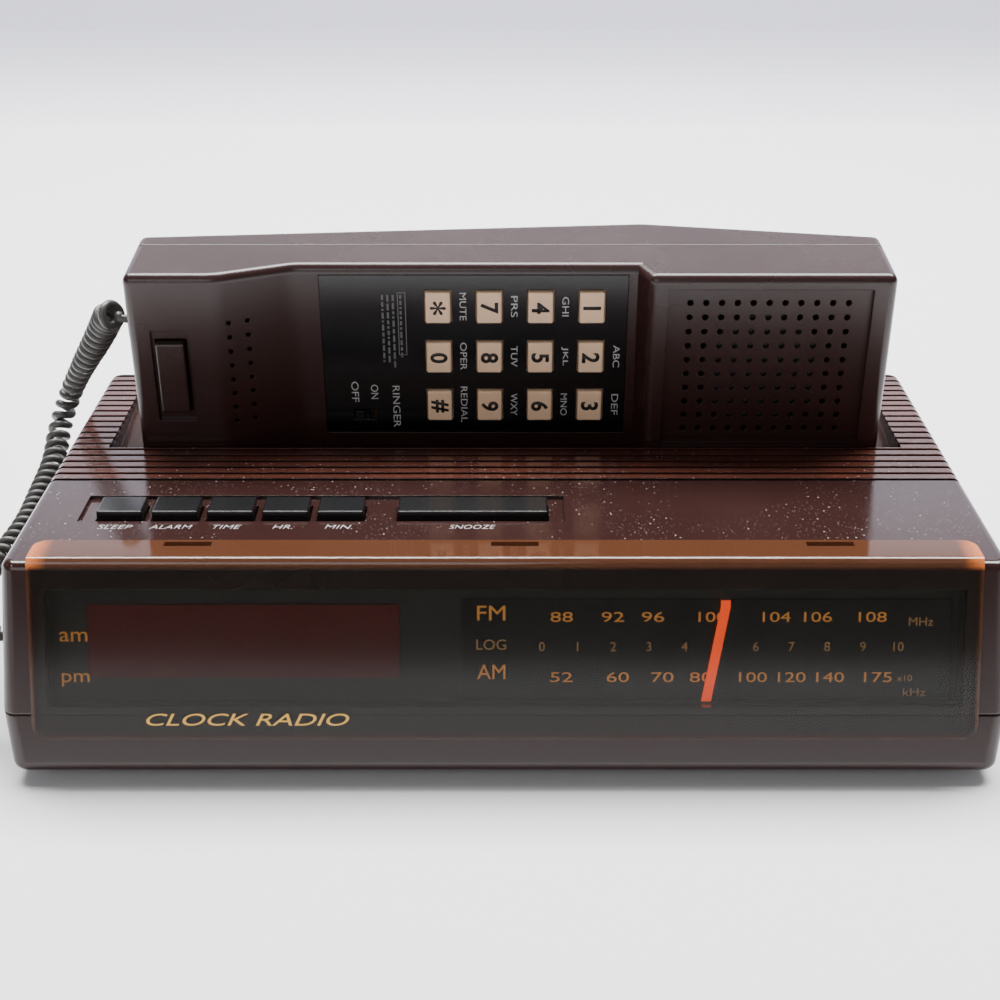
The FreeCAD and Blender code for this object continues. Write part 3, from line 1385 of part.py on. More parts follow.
def check(item):
    bad = [state for state in item.State if state in ("Invalid", "Error")]
    if bad:
        raise RuntimeError(f"{item.Label} ({item.Name}) is {bad}")


def build():
    upper_case()
    lower_case()
    feet_and_screws()
    lens()
    dial_pieces()
    dial_pointer()
    tuning_pieces()
    dial_string()
    clock_buttons()
    side_controls()
    boards()
    inner_parts()
    connectors()
    cradle_plunger()
    front_shell()
    back_shell()
    keypad()
    handset_parts()
    handset_cord()
    doc.recompute()
    for item in doc.Objects:
        check(item)
    os.makedirs("parts", exist_ok=True)
    for label, item in PIECES.items():
        shape = item.Shape
        if shape.isNull() or not shape.isValid() or not shape.Solids:
            raise RuntimeError(f"{label} has no valid solid")
        shape.exportStep(f"parts/{label}.step")
        box = shape.BoundBox
        print(f"{label:18s} solids {len(shape.Solids):2d} volume {shape.Volume:10.1f} size "
              f"{box.XLength:6.1f} {box.YLength:6.1f} {box.ZLength:6.1f}")


build()
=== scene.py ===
# %% [markdown]
# # A clock radio with a telephone in its top
#
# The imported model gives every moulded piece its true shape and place. This lesson adds what makes it look real:
# the curly cord, softened edges, printed dials and keys, and a finish for each material. Lengths are in metres.

# %% Load the frame
import json
import math
import bmesh
import bpy
from mathutils import Matrix, Vector


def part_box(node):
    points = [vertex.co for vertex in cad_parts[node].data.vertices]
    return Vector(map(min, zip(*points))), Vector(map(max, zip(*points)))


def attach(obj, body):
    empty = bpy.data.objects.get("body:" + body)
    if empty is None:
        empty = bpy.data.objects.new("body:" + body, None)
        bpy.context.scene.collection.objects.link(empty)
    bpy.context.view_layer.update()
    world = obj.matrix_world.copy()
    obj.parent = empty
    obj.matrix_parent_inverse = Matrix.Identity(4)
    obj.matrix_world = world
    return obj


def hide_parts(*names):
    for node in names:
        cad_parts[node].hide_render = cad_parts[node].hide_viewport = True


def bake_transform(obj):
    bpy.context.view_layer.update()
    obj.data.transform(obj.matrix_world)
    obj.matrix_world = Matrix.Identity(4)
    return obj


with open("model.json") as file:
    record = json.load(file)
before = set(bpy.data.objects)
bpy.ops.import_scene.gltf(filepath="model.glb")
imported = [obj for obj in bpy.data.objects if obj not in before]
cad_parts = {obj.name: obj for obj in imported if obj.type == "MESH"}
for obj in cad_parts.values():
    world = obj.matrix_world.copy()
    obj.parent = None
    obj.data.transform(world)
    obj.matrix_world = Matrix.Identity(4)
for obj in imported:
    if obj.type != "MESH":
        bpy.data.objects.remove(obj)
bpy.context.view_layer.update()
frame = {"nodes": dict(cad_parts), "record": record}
nodes = frame["nodes"]
MM = 0.001
print(len(nodes), "pieces in the frame")

# %% [markdown]
# ## Camera
#
# A desk set is best looked at from a seated person's eye level. The camera stands half a metre from
# the dial and looks down at it, with a moderately long lens so that the front and the keypad keep their shapes.
# A wide lens close by would show more of the ribs, but it would bend the box's edges apart.

# %% Camera
VIEW_PITCH = 24.9
camera = bpy.data.objects.new("camera", bpy.data.cameras.new("camera"))
camera.data.sensor_width = 36
camera.data.lens = 60.44
camera.data.shift_x = -0.005
camera.location = (0, -432.7 * MM, 245.7 * MM)
camera.rotation_euler = (math.radians(90 - VIEW_PITCH), 0, 0)
bpy.context.scene.collection.objects.link(camera)
bpy.context.scene.camera = camera

# %% [markdown]
# ## Meshes that start as curves
#
# Blender draws curves and letters as objects of their own kinds. Everything here ends as a mesh, so one helper
# hangs the curve in the scene for a moment, asks for its mesh and takes the curve away again.

# %% Curve to mesh
collection = bpy.context.scene.collection


def mesh_from_curve(curve):
    """The mesh of a curve's or a text's present shape."""
    carrier = bpy.data.objects.new("carrier", curve)
    collection.objects.link(carrier)
    view = bpy.context.evaluated_depsgraph_get()
    view.update()
    mesh = bpy.data.meshes.new_from_object(carrier.evaluated_get(view))
    bpy.data.objects.remove(carrier)
    bpy.data.curves.remove(curve)
    return mesh


def piece(name, mesh, body=None):
    """Puts a mesh in the scene and lets it ride on a body."""
    made = bpy.data.objects.new(name, mesh)
    collection.objects.link(made)
    if body:
        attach(made, body)
    return made


def finished(name, shape, body=None):
    """The same for a bmesh, which is freed."""
    mesh = bpy.data.meshes.new(name)
    shape.to_mesh(mesh)
    shape.free()
    return piece(name, mesh, body)


# %% [markdown]
# ## Curly cord
#
# A handset cord is a thin flexible strand that was wound on a rod and baked, so it always wants to be a coil.
# Modelling it by hand would be endless. Instead a smooth spline says where the middle of the coil runs, and a
# loop walks along it and swings the strand round. The strand leaves each plug straight, then winds up, wide and
# close near the handset and thinner further down, where its weight has drawn it out.

# %% Route of the cord
CORD_ROUTE = [
    (-0.1066, 0.0218, 0.0913),
    (-0.1104, 0.0216, 0.0919),
    (-0.1128, 0.0236, 0.0922),
    (-0.1150, 0.0280, 0.0885),
    (-0.1192, 0.0335, 0.0815),
    (-0.1245, 0.0400, 0.0735),
    (-0.1290, 0.0470, 0.0665),
    (-0.1350, 0.0550, 0.0565),
    (-0.1390, 0.0520, 0.0455),
    (-0.1380, 0.0380, 0.0390),
    (-0.1385, 0.0210, 0.0365),
    (-0.1380, 0.0030, 0.0355),
    (-0.1405, -0.0150, 0.0340),
    (-0.1460, -0.0280, 0.0320),
    (-0.1475, -0.0390, 0.0302),
    (-0.1440, -0.0465, 0.0294),
    (-0.1360, -0.0500, 0.0290),
    (-0.1283, -0.0500, 0.0290),
]
cord_route = [Vector(point) for point in CORD_ROUTE]


def smooth_line(points):
    """Points along the smooth spline that a route's points control."""
    curve = bpy.data.curves.new("route", "CURVE")
    curve.dimensions = "3D"
    curve.resolution_u = 40
    spline = curve.splines.new("NURBS")
    spline.points.add(len(points) - 1)
    for control, point in zip(spline.points, points):
        control.co = (*point, 1)
    spline.order_u = 3
    spline.use_endpoint_u = True
    line = mesh_from_curve(curve)
    return [vertex.co.copy() for vertex in line.vertices]


centre_line = smooth_line(cord_route)
line_length = sum((b - a).length for a, b in zip(centre_line, centre_line[1:]))
print(f"middle of the coil: {line_length * 1000:.0f} mm")

# %% Strand wound round the route
STRAND = 2.4 * MM
FIRST_RADIUS = 3.3 * MM
LAST_RADIUS = 2.5 * MM
FIRST_PITCH = 3.1 * MM
LAST_PITCH = 3.9 * MM
SLACKENS_OVER = 55 * MM
LEAD = 2.5 * MM
STEPS_A_TURN = 20


def resampled(line, count):
    """The same line with evenly spaced points."""
    lengths = [0]
    for a, b in zip(line, line[1:]):
        lengths.append(lengths[-1] + (b - a).length)
    result = []
    at = 0
    for i in range(count):
        wanted = lengths[-1] * i / (count - 1)
        while at < len(line) - 2 and lengths[at + 1] < wanted:
            at += 1
        share = (wanted - lengths[at]) / (lengths[at + 1] - lengths[at])
        result.append(line[at].lerp(line[at + 1], share))
    return result


def eased(share):
    share = max(0, min(1, share))
    return share * share * (3 - 2 * share)


def wound(line, length):
    """The strand's points: the line's own, swung round it once a pitch."""
    step = FIRST_PITCH / STEPS_A_TURN
    points = resampled(line, int(length / step) + 1)
    side = Vector((0, 0, 1))
    angle = 0
    strand = []
    for i, point in enumerate(points):
        ahead = points[min(i + 1, len(points) - 1)] - points[max(i - 1, 0)]
        ahead.normalize()
        side = (side - ahead * side.dot(ahead)).normalized()
        gone = i * step
        slack = eased(gone / SLACKENS_OVER)
        free = min(gone, length - gone) - LEAD
        swing = FIRST_RADIUS + (LAST_RADIUS - FIRST_RADIUS) * slack
        swing *= eased(free / FIRST_PITCH) * (1 + 0.06 * math.sin(gone / (11 * MM)))
        across = ahead.cross(side)
        strand.append(point + swing * (math.cos(angle) * side + math.sin(angle) * across))
        angle += 2 * math.pi * step / (FIRST_PITCH + (LAST_PITCH - FIRST_PITCH) * slack)
    return strand


strand = wound(centre_line, line_length)
strand_length = sum((b - a).length for a, b in zip(strand, strand[1:]))
tube = bpy.data.curves.new("strand", "CURVE")
tube.dimensions = "3D"
tube.bevel_depth = STRAND / 2
tube.bevel_resolution = 2
tube.use_fill_caps = True
track = tube.splines.new("POLY")
track.points.add(len(strand) - 1)
for control, point in zip(track.points, strand):
    control.co = (*point, 1)
cord_mesh = mesh_from_curve(tube)
cord_mesh.shade_smooth()
cord = piece("curly_cord", cord_mesh)
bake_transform(cord)
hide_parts("handset_cord")
print(f"curly cord: {strand_length:.2f} m of strand, {len(cord_mesh.polygons)} faces")

# %% [markdown]
# ## Writing materials as sums
#
# A material's nodes are easier to read as formulas. `Value` wraps one output socket, so `mask * 0.3 + 0.2` adds
# the two Math nodes that it needs. `Finish` owns a material and has the one method that makes any other node.

# %% Value and Finish


class Value:
    """An output socket that can stand in a formula."""

    def __init__(self, finish, socket):
        self.finish = finish
        self.socket = socket

    def maths(self, operation, first, second):
        return self.finish.node("ShaderNodeMath", {"operation": operation}, {0: first, 1: second})

    def __add__(self, other):
        return self.maths("ADD", self, other)

    __radd__ = __add__

    def __mul__(self, other):
        return self.maths("MULTIPLY", self, other)

    __rmul__ = __mul__

    def __gt__(self, other):
        return self.maths("GREATER_THAN", self, other)

    def __abs__(self):
        return self.maths("ABSOLUTE", self, 0)


class Finish:
    """A material, or the room's world, and the nodes that feed its shader."""

    def __init__(self, name, world=None):
        self.material = world or bpy.data.materials.new(name)
        self.material.use_nodes = True
        self.tree = self.material.node_tree
        self.shader = self.tree.nodes["Background" if world else "Principled BSDF"]

    def join(self, value, socket):
        if isinstance(value, Value):
            self.tree.links.new(value.socket, socket)
        else:
            socket.default_value = value

    def node(self, kind, settings=None, inputs=None, output=0):
        made = self.tree.nodes.new(kind)
        for key, value in (settings or {}).items():
            if key == "stops":
                for element, (place, colour) in zip(made.color_ramp.elements, value):
                    element.position = place
                    element.color = colour
            else:
                setattr(made, key, value)
        for key, value in (inputs or {}).items():
            self.join(value, made.inputs[key])
        return Value(self, made.outputs[output])

    def set(self, inputs):
        for key, value in inputs.items():
            self.join(value, self.shader.inputs[key])

    def place(self):
        """Object coordinates, which on these pieces are the row's own metres."""
        return self.node("ShaderNodeTexCoord", output="Object")

    def axis(self, letter):
        return self.node("ShaderNodeSeparateXYZ", inputs={0: self.place()}, output=letter)

    def noise(self, size, detail=2.0):
        settings = {"noise_dimensions": "3D"}
        inputs = {"Vector": self.place(), "Scale": 1 / size, "Detail": detail}
        return self.node("ShaderNodeTexNoise", settings, inputs)

    def mix(self, share, first, second):
        settings = {"data_type": "RGBA"}
        return self.node("ShaderNodeMix", settings, {0: share, 6: first, 7: second}, output=2)

    def ramp(self, value, low, high):
        """0 below low, 1 above high and a straight line between."""
        return self.node("ShaderNodeMapRange", None, {"Value": value, "From Min": low, "From Max": high})

    def bump(self, height, depth, corner=0.0):
        """Bumps of a height from 0 to 1, whose full depth is in metres, over corners of a radius."""
        inputs = {"Height": height, "Distance": depth}
        if corner:
            inputs["Normal"] = self.node("ShaderNodeBevel", {"samples": 4}, {"Radius": corner})
        return self.node("ShaderNodeBump", None, inputs)


def shade(red, green, blue):
    return (red, green, blue, 1.0)


def wear(made, finish):
    """Gives a piece its finish."""
    if made.material_slots:
        made.material_slots[0].material = finish.material
    else:
        made.data.materials.append(finish.material)


print("materials are written as formulas from here on")

# %% [markdown]
# ## Brown moulded plastic
#
# The case and the handset are glossy dark brown ABS. Polished moulds leave a soft skin: very fine ripples, a
# little unevenness in gloss where hands have been, and dust that settles on faces that look up. Fine noise in
# the bump gives the skin, wide noise varies the gloss, and a sparse cell pattern lays the dust. A Bevel node
# turns the light along edges that are too small to round one by one.

# %% Moulded plastic
CORNER = 0.35 * MM
DUST = shade(0.36, 0.31, 0.29)
LEVEL_ENOUGH = 0.6


def dust(finish, size, amount):
    """Sparse specks on faces that look up, 0 or 1."""
    spots = {"Vector": finish.place(), "Scale": 1 / size}
    cells = finish.node("ShaderNodeTexVoronoi", {"feature": "F1"}, spots)
    patches = finish.noise(24 * MM)
    outward = finish.node("ShaderNodeNewGeometry", output="Normal")
    up = finish.node("ShaderNodeSeparateXYZ", None, {0: outward}, output="Z")
    return finish.ramp(cells, amount, amount * 0.5) * finish.ramp(patches, 0.40, 0.58) * (up > LEVEL_ENOUGH)


def moulded(name, dark, light, gloss, laid_over=None):
    """A finish with cloudy tone and gloss, and a fine skin over softened corners."""
    finish = Finish(name)
    cloud = finish.noise(35 * MM, 3.0)
    grain = finish.noise(0.35 * MM, 2.0)
    colour = finish.mix(cloud, shade(*dark), shade(*light))
    finish.set({
        "Base Color": laid_over(finish, colour) if laid_over else colour,
        "Roughness": cloud * 0.10 + gloss,
        "Normal": finish.bump(grain, 0.008 * MM, CORNER),
    })
    return finish


DARK_BROWN = (0.019, 0.0074, 0.0064)
LIGHT_BROWN = (0.027, 0.0106, 0.0090)
case_brown = moulded("case_brown", DARK_BROWN, LIGHT_BROWN, 0.14)
handset_brown = moulded("handset_brown", (0.021, 0.0080, 0.0072), (0.028, 0.0108, 0.0096), 0.22)
black_plastic = moulded("black_plastic", (0.004, 0.0042, 0.0046), (0.007, 0.0072, 0.0078), 0.18)
panel_black = moulded("panel_black", (0.002, 0.0023, 0.003), (0.0035, 0.004, 0.005), 0.14)
dial_black = moulded("dial_black", (0.009, 0.008, 0.006), (0.013, 0.0115, 0.009), 0.40)
key_cream = moulded("key_cream", (0.76, 0.51, 0.33), (0.83, 0.57, 0.38), 0.34)

# %% Painted rib highlights, painted groove shade and dust on the upper case
case_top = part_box("upper_case")[1][2]
GROOVE_FLOOR = case_top - 1.2 * MM
STRIP_BEHIND_BUTTONS = 15.8 * MM
# Painted highlight: the rib tops are coloured redder and lighter for the reddish sheen they catch.
PAINTED_RIB_HIGHLIGHT = shade(0.12, 0.034, 0.021)
# Painted shade: the grooves between the ribs are coloured near black.
GROOVE_PAINTED_SHADE = shade(0.004, 0.0015, 0.0012)
rib_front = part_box("snooze_bar")[1][1] + STRIP_BEHIND_BUTTONS


def ribs_and_dust(finish, base):
    """The base colour with a painted reddish highlight on the rib tops, painted shade near black in the grooves,
    and dust on top.
    """
    height = finish.axis("Z")
    among_ribs = finish.ramp(finish.axis("Y"), rib_front - 0.5 * MM, rib_front)
    lit_rib_tops = finish.ramp(height, case_top - 0.5 * MM, case_top - 0.1 * MM)
    painted_groove_shade = finish.ramp(height, case_top - 0.3 * MM, GROOVE_FLOOR) * (height > GROOVE_FLOOR - 0.6 * MM)
    streaks = finish.noise(16 * MM, 4.0)
    # Painted highlight on the rib tops, in streaks.
    colour = finish.mix(among_ribs * lit_rib_tops * streaks, base, PAINTED_RIB_HIGHLIGHT)
    # Painted shade in the grooves.
    colour = finish.mix(among_ribs * painted_groove_shade, colour, GROOVE_PAINTED_SHADE)
    specks = dust(finish, 2.1 * MM, 0.13) + dust(finish, 0.9 * MM, 0.15) * 0.6
    return finish.mix(specks, colour, DUST)


ribbed_brown = moulded("ribbed_brown", DARK_BROWN, LIGHT_BROWN, 0.10, ribs_and_dust)
print("plastics ready")

# %% [markdown]
# ## Smoked lens
#
# The lens is one bent sheet of amber acrylic. Looked at through its face it only darkens what is behind, but
# light that travels inside the sheet comes out at its rim, which glows orange. A clear acrylic shader shows
# this only with very long light paths, so the rim is found from its place and given its own colour and light.

# %% Lens
lens_low, lens_high = (Vector(end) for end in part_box("dial_lens"))


SMOKE = shade(0.010, 0.0082, 0.0045)
AMBER = shade(0.078, 0.029, 0.014)


def smoked_lens():
    """Dark and see-through on the face, amber at the rims and on the flange, lit at the upper corners."""
    finish = Finish("smoked_lens")
    sideways = abs(finish.axis("X"))
    height = finish.axis("Z")
    half = lens_high.x
    side_rim = finish.ramp(sideways, half - 1.0 * MM, half - 0.4 * MM)
    low_rim = finish.ramp(height, lens_low.z + 1.1 * MM, lens_low.z + 0.5 * MM)
    flange = finish.ramp(height, lens_high.z - 2.9 * MM, lens_high.z - 1.8 * MM)
    corner = finish.ramp(sideways, half - 5 * MM, half - 1.0 * MM) * flange
    rim = finish.node("ShaderNodeClamp", None, {0: side_rim * 0.7 + low_rim * 0.6 + flange * 0.9})
    smear = finish.noise(26 * MM, 4.0)
    colour = finish.mix(rim, SMOKE, AMBER)
    colour = finish.mix(corner, colour, shade(0.45, 0.12, 0.028))
    glow = finish.mix(rim, shade(0, 0, 0), shade(0.055, 0.016, 0.005))
    finish.set({
        "Base Color": colour,
        "Alpha": rim * 0.45 + 0.32 + smear * 0.08,
        "Roughness": smear * 0.06 + 0.04,
        "Emission Color": finish.mix(corner, glow, shade(0.42, 0.11, 0.022)),
        "Emission Strength": 0.6,
        "Specular IOR Level": 0.7,
    })
    return finish


lens_finish = smoked_lens()
print("lens is smoked")

# %% Small finishes

def plain_finish(name, colour, gloss, glow=0.0, metal=0.0, uneven=0.1, grain=0.4):
    """A finish of one colour whose gloss, tone and skin still vary a little, with a painted glow if a glow is
    given.
    """
    finish = Finish(name)
    cloud = finish.noise(9 * MM, 3.0)
    deeper = [part * (1 - uneven) for part in colour]
    finish.set({
        "Base Color": finish.mix(cloud, shade(*deeper), shade(*colour)),
        "Roughness": cloud * 0.1 + gloss,
        "Metallic": metal,
        "Normal": finish.bump(finish.noise(grain * MM), 0.01 * MM),
    })
    # A glow here is painted light: none of these pieces is a lamp, and the emission brightens it in the dial's
    # shade.
    if glow:
        finish.set({"Emission Color": shade(*colour), "Emission Strength": glow})
    return finish


# The red window, the pointer and the dial's inks are given a painted glow.
window_red = plain_finish("window_red", (0.085, 0.003, 0.004), 0.12, 0.30)
pointer_orange = plain_finish("pointer_orange", (1.0, 0.075, 0.004), 0.4, 1.6)
ink_gold = plain_finish("ink_gold", (0.80, 0.31, 0.045), 0.45, 0.5)
ink_dim = plain_finish("ink_dim", (0.40, 0.21, 0.075), 0.45, 0.45)
ink_badge = plain_finish("ink_badge", (0.58, 0.34, 0.07), 0.3, 0.30, 0.5)
ink_white = plain_finish("ink_white", (0.42, 0.42, 0.42), 0.5)
ink_grey = plain_finish("ink_grey", (0.10, 0.105, 0.11), 0.5)
ink_black = plain_finish("ink_black", (0.012, 0.010, 0.010), 0.4)
cord_rubber = plain_finish("cord_rubber", (0.050, 0.046, 0.042), 0.34, grain=0.6)
foot_rubber = plain_finish("foot_rubber", (0.018, 0.018, 0.018), 0.75, grain=0.9)
clear_plastic = plain_finish("plug_plastic", (0.30, 0.29, 0.27), 0.18)
steel = plain_finish("steel", (0.55, 0.55, 0.56), 0.3, metal=1.0)
ferrite = plain_finish("ferrite", (0.05, 0.05, 0.055), 0.6)
board_tan = plain_finish("circuit_board", (0.30, 0.20, 0.08), 0.5, uneven=0.3)
capsule = plain_finish("capsule_plastic", (0.03, 0.03, 0.035), 0.45)
battery_wrap = plain_finish("battery_can", (0.10, 0.10, 0.14), 0.3, metal=0.6)
string_tan = plain_finish("string_fibre", (0.55, 0.48, 0.34), 0.8, grain=0.2)
print("inks and small finishes ready")

# %% Pointer paint
# Only the needle in front of the scale is painted. The neck that carries it is plain black.
NEEDLE_PAST_WINDOW = 2.3 * MM
painted_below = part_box("led_window")[1][2] + NEEDLE_PAST_WINDOW
unpainted = pointer_orange.ramp(pointer_orange.axis("Z"), painted_below - 0.2 * MM, painted_below)
black = shade(0.004, 0.004, 0.004)
orange = shade(1.0, 0.075, 0.004)
# The needle's painted glow uses the same mask: orange light on the needle, none on the neck.
pointer_orange.set({
    "Base Color": pointer_orange.mix(unpainted, orange, black),
    "Emission Color": pointer_orange.mix(unpainted, orange, black),
})

# %% Finish of every piece in the frame
SLOT_FINISH = {
    "case_plastic": case_brown,
    "handset_plastic": handset_brown,
    "lens_plastic": lens_finish,
    "window_plastic": window_red,
    "black_plastic": black_plastic,
    "key_plastic": key_cream,
    "soft_rubber": foot_rubber,
    "cord_jacket": cord_rubber,
    "clear_plastic": clear_plastic,
    "pointer_plastic": pointer_orange,
    "circuit_board": board_tan,
    "steel": steel,
    "ferrite": ferrite,
    "capsule_plastic": capsule,
    "battery_can": battery_wrap,
    "string_fibre": string_tan,
}
slot_of = {part["node"]: part["material_slot"] for part in frame["record"]["subparts"]}
for name, slot in slot_of.items():
    wear(nodes[name], SLOT_FINISH[slot])
wear(nodes["dial_panel"], dial_black)
wear(nodes["keypad_panel"], panel_black)
wear(nodes["upper_case"], ribbed_brown)
wear(cord, cord_rubber)

# %% [markdown]
# ## Leaning faces
#
# The dial face leans back and the handset leans forward in its cradle. Work on them is easier in a turned
# frame, where the face is upright. Each frame here is only a turn about X: where a face lies in it is read from
# the pieces themselves.

# %% Turned frames
FACE_LEAN = math.radians(16.6)
HANDSET_LEAN = math.radians(6.5)
DIAL = Matrix.Rotation(-FACE_LEAN, 4, "X")
HANDSET = Matrix.Rotation(HANDSET_LEAN, 4, "X")
LEVEL = Matrix.Identity(4)


def box_in(turn, name):
    """A piece's lowest and highest corners in a turned frame."""
    back = turn.inverted()
    points = [back @ vertex.co for vertex in nodes[name].data.vertices]
    low = Vector([min(point[i] for point in points) for i in range(3)])
    high = Vector([max(point[i] for point in points) for i in range(3)])
    return low, high


# %% [markdown]
# ## Softer edges
#
# No moulded button has a knife edge. A copy of each small piece gets its corners rounded with a bevel: the
# copy's loose triangles are merged, flat faces are joined again so that only real edges are left, and those are
# bevelled. The copy stands for the piece, which keeps its exact shape for the moving model.

# %% Softened copies
body_of = {name: body for body, names in frame["record"]["behaviour"]["bodies"].items() for name in names}


def softened(name, width, finish, segments=3):
    shape = bmesh.new()
    shape.from_mesh(nodes[name].data)
    bmesh.ops.remove_doubles(shape, verts=shape.verts, dist=0.002 * MM)
    bmesh.ops.dissolve_limit(
        shape, angle_limit=math.radians(1), use_dissolve_boundaries=False, verts=shape.verts, edges=shape.edges
    )
    sharp = [edge for edge in shape.edges if edge.is_manifold and edge.calc_face_angle() > math.radians(35)]
    bmesh.ops.bevel(
        shape,
        geom=sharp,
        offset=width,
        offset_type="OFFSET",
        affect="EDGES",
        segments=segments,
        profile=0.5,
        material=-1,
        clamp_overlap=True,
    )
    made = finished("soft_" + name, shape, body_of[name])
    wear(made, finish)
    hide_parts(name)
    return made


KEY_NAMES = [name for name in nodes if name.startswith("key_") and name != "key_mat"]
for name in KEY_NAMES:
    softened(name, 0.55 * MM, key_cream)
CLOCK_BUTTONS = ["sleep_button", "alarm_button", "time_button", "hour_button", "minute_button", "snooze_bar"]
for name in CLOCK_BUTTONS:
    softened(name, 0.5 * MM, black_plastic)
softened("hook_bar", 0.5 * MM, handset_brown)
print(len(KEY_NAMES), "keys and", len(CLOCK_BUTTONS), "buttons softened")

# %% [markdown]
# ## Printed letters
#
# Scales, keys and buttons are printed with a soft pad, which lays a film of ink a few hundredths of a
# millimetre thick. Each word is a text object turned into a mesh, scaled to its own height and width and laid
# on its face. That keeps every word at its true size without knowing the font's own measures.

# %% Printing helper
INK = 0.03 * MM


def word_mesh(text, height, width=None, slant=0.0, bold=0.0):
    """A word as a thin mesh, centred on the origin, that reads along X and faces +Z."""
    curve = bpy.data.curves.new("word", "FONT")
    curve.body = text
    curve.size = 1
    curve.shear = slant
    curve.offset = bold
    curve.resolution_u = 4
    mesh = mesh_from_curve(curve)
    across = [vertex.co.x for vertex in mesh.vertices]
    upward = [vertex.co.y for vertex in mesh.vertices]
    tall = height / (max(upward) - min(upward))
    wide = width / (max(across) - min(across)) if width else tall
    middle = Vector(((max(across) + min(across)) / 2, (max(upward) + min(upward)) / 2, 0))
    mesh.transform(Matrix.Diagonal((wide, tall, 1, 1)) @ Matrix.Translation(-middle))
    return mesh


UPRIGHT = Matrix.Rotation(math.radians(90), 4, "X")
CLOCKWISE = Matrix.Rotation(math.radians(-90), 4, "Z")


def printed(name, body, finish, turn, words, stance=UPRIGHT, bold=0.0):
    """One piece of print: words of (text, place in the turned frame, height, width, slant)."""
    print_shape = bmesh.new()
    for text, place, height, width, slant in words:
        flat = word_mesh(text, height, width, slant, bold)
        flat.transform(turn @ Matrix.Translation(place) @ stance)
        print_shape.from_mesh(flat)
        bpy.data.meshes.remove(flat)
    faces = bmesh.ops.extrude_face_region(print_shape, geom=print_shape.faces[:])
    lifted = [item for item in faces["geom"] if isinstance(item, bmesh.types.BMVert)]
    outward = (turn @ stance).to_3x3() @ Vector((0, 0, INK))
    bmesh.ops.translate(print_shape, verts=lifted, vec=outward)
    bmesh.ops.recalc_face_normals(print_shape, faces=print_shape.faces)
    made = finished(name, print_shape, body)
    wear(made, finish)
    return made


# %% [markdown]
# ## Dial
#
# The tuning scale is a black plate behind the lens with three rows: FM, a plain log scale and AM. The rows are
# level with the clock window beside them, so their heights are counted from the window's lower edge.

# %% Scale plate
window_low, window_high = box_in(DIAL, "led_window")
panel_high = box_in(DIAL, "dial_panel")[1]
plate_face = window_low.y - 0.2 * MM


def slab(name, turn, low, high, round_edge, body, finish):
    """A plate between two corners of a turned frame, with rounded edges."""
    shape = bmesh.new()
    bmesh.ops.create_cube(shape, size=1)
    size = Vector(high) - Vector(low)
    middle = (Vector(high) + Vector(low)) / 2
    bmesh.ops.scale(shape, vec=size, verts=shape.verts)
    bmesh.ops.bevel(
        shape,
        geom=shape.edges[:],
        offset=round_edge,
        affect="EDGES",
        segments=3,
        profile=0.5,
        material=-1,
    )
    bmesh.ops.transform(shape, matrix=turn @ Matrix.Translation(middle), verts=shape.verts)
    made = finished(name, shape, body)
    wear(made, finish)
    return made


plate_low = (-11 * MM, plate_face, window_low.z - 5.9 * MM)
plate_high = (panel_high.x - 4 * MM, panel_high.y - 1.2 * MM, window_high.z + 1.5 * MM)
slab("scale_plate", DIAL, plate_low, plate_high, 0.2 * MM, "base", panel_black)

# %% Scale numbers
FM_ROW = window_low.z + 16.0 * MM
LOG_ROW = window_low.z + 8.3 * MM
AM_ROW = window_low.z + 0.3 * MM
FM_MARKS = {"88": 14.4, "92": 27.4, "96": 37.6, "100": 52.7, "104": 69.0, "106": 79.5, "108": 93.4}
AM_MARKS = {"52": 14.4, "60": 28.8, "70": 40.2, "80": 50.0, "100": 63.3, "120": 73.2, "140": 83.0, "175": 95.2}
LOG_START = 9.4
LOG_STEP = 9.08


def dial_word(text, x, z, height, width=None):
    return (text, Vector((x * MM, plate_face, z)), height * MM, width and width * MM, 0)


numbers = []
for row, marks in ((FM_ROW, FM_MARKS), (AM_ROW, AM_MARKS)):
    for text, x in marks.items():
        numbers.append(dial_word(text, x, row, 2.6, 1.4 * len(text) + 2.9))
for text, z in (("FM", FM_ROW + 1.0 * MM), ("AM", AM_ROW + 1.4 * MM)):
    numbers.append(dial_word(text, -3.5, z, 3.8, 7.2))
printed("scale_numbers", "base", ink_gold, DIAL, numbers)
small = [dial_word(str(i), LOG_START + i * LOG_STEP, LOG_ROW, 2.4) for i in range(11)]
small.append(dial_word("LOG", -3.5, LOG_ROW + 0.5 * MM, 2.7, 7.6))
small.append(dial_word("MHz", 105.7, FM_ROW - 1.2 * MM, 2.2, 6.2))
small.append(dial_word("x10", 102.0, AM_ROW - 0.2 * MM, 1.6, 3.8))
small.append(dial_word("kHz", 104.6, AM_ROW - 3.9 * MM, 2.0, 5.8))
printed("scale_small_print", "base", ink_dim, DIAL, small)

# %% Clock window print and badge
lens_face = box_in(DIAL, "dial_lens")[0].y
side_words = [
    ("am", Vector((-109.8 * MM, plate_face, window_low.z + 10.9 * MM)), 2.6 * MM, 7.1 * MM, 0),
    ("pm", Vector((-109.6 * MM, plate_face, window_low.z - 0.4 * MM)), 3.5 * MM, 7.1 * MM, 0),
]
printed("am_pm", "base", ink_gold, DIAL, side_words)
badge_place = Vector((-64.6 * MM, lens_face - 0.02 * MM, window_low.z - 8.5 * MM))
printed("badge", "base", ink_badge, DIAL, [("CLOCK RADIO", badge_place, 3.1 * MM, 51 * MM, 0.28)])

# %% [markdown]
# ## Keys and keypad print
#
# The handset lies on its side, so its print reads downwards. Digits stand on the keys and move with them; the
# letters beside each key are on the panel.

# %% Digits
DIGIT = {"key_star": "*", "key_hash": "#"}
READS_DOWN = UPRIGHT @ CLOCKWISE


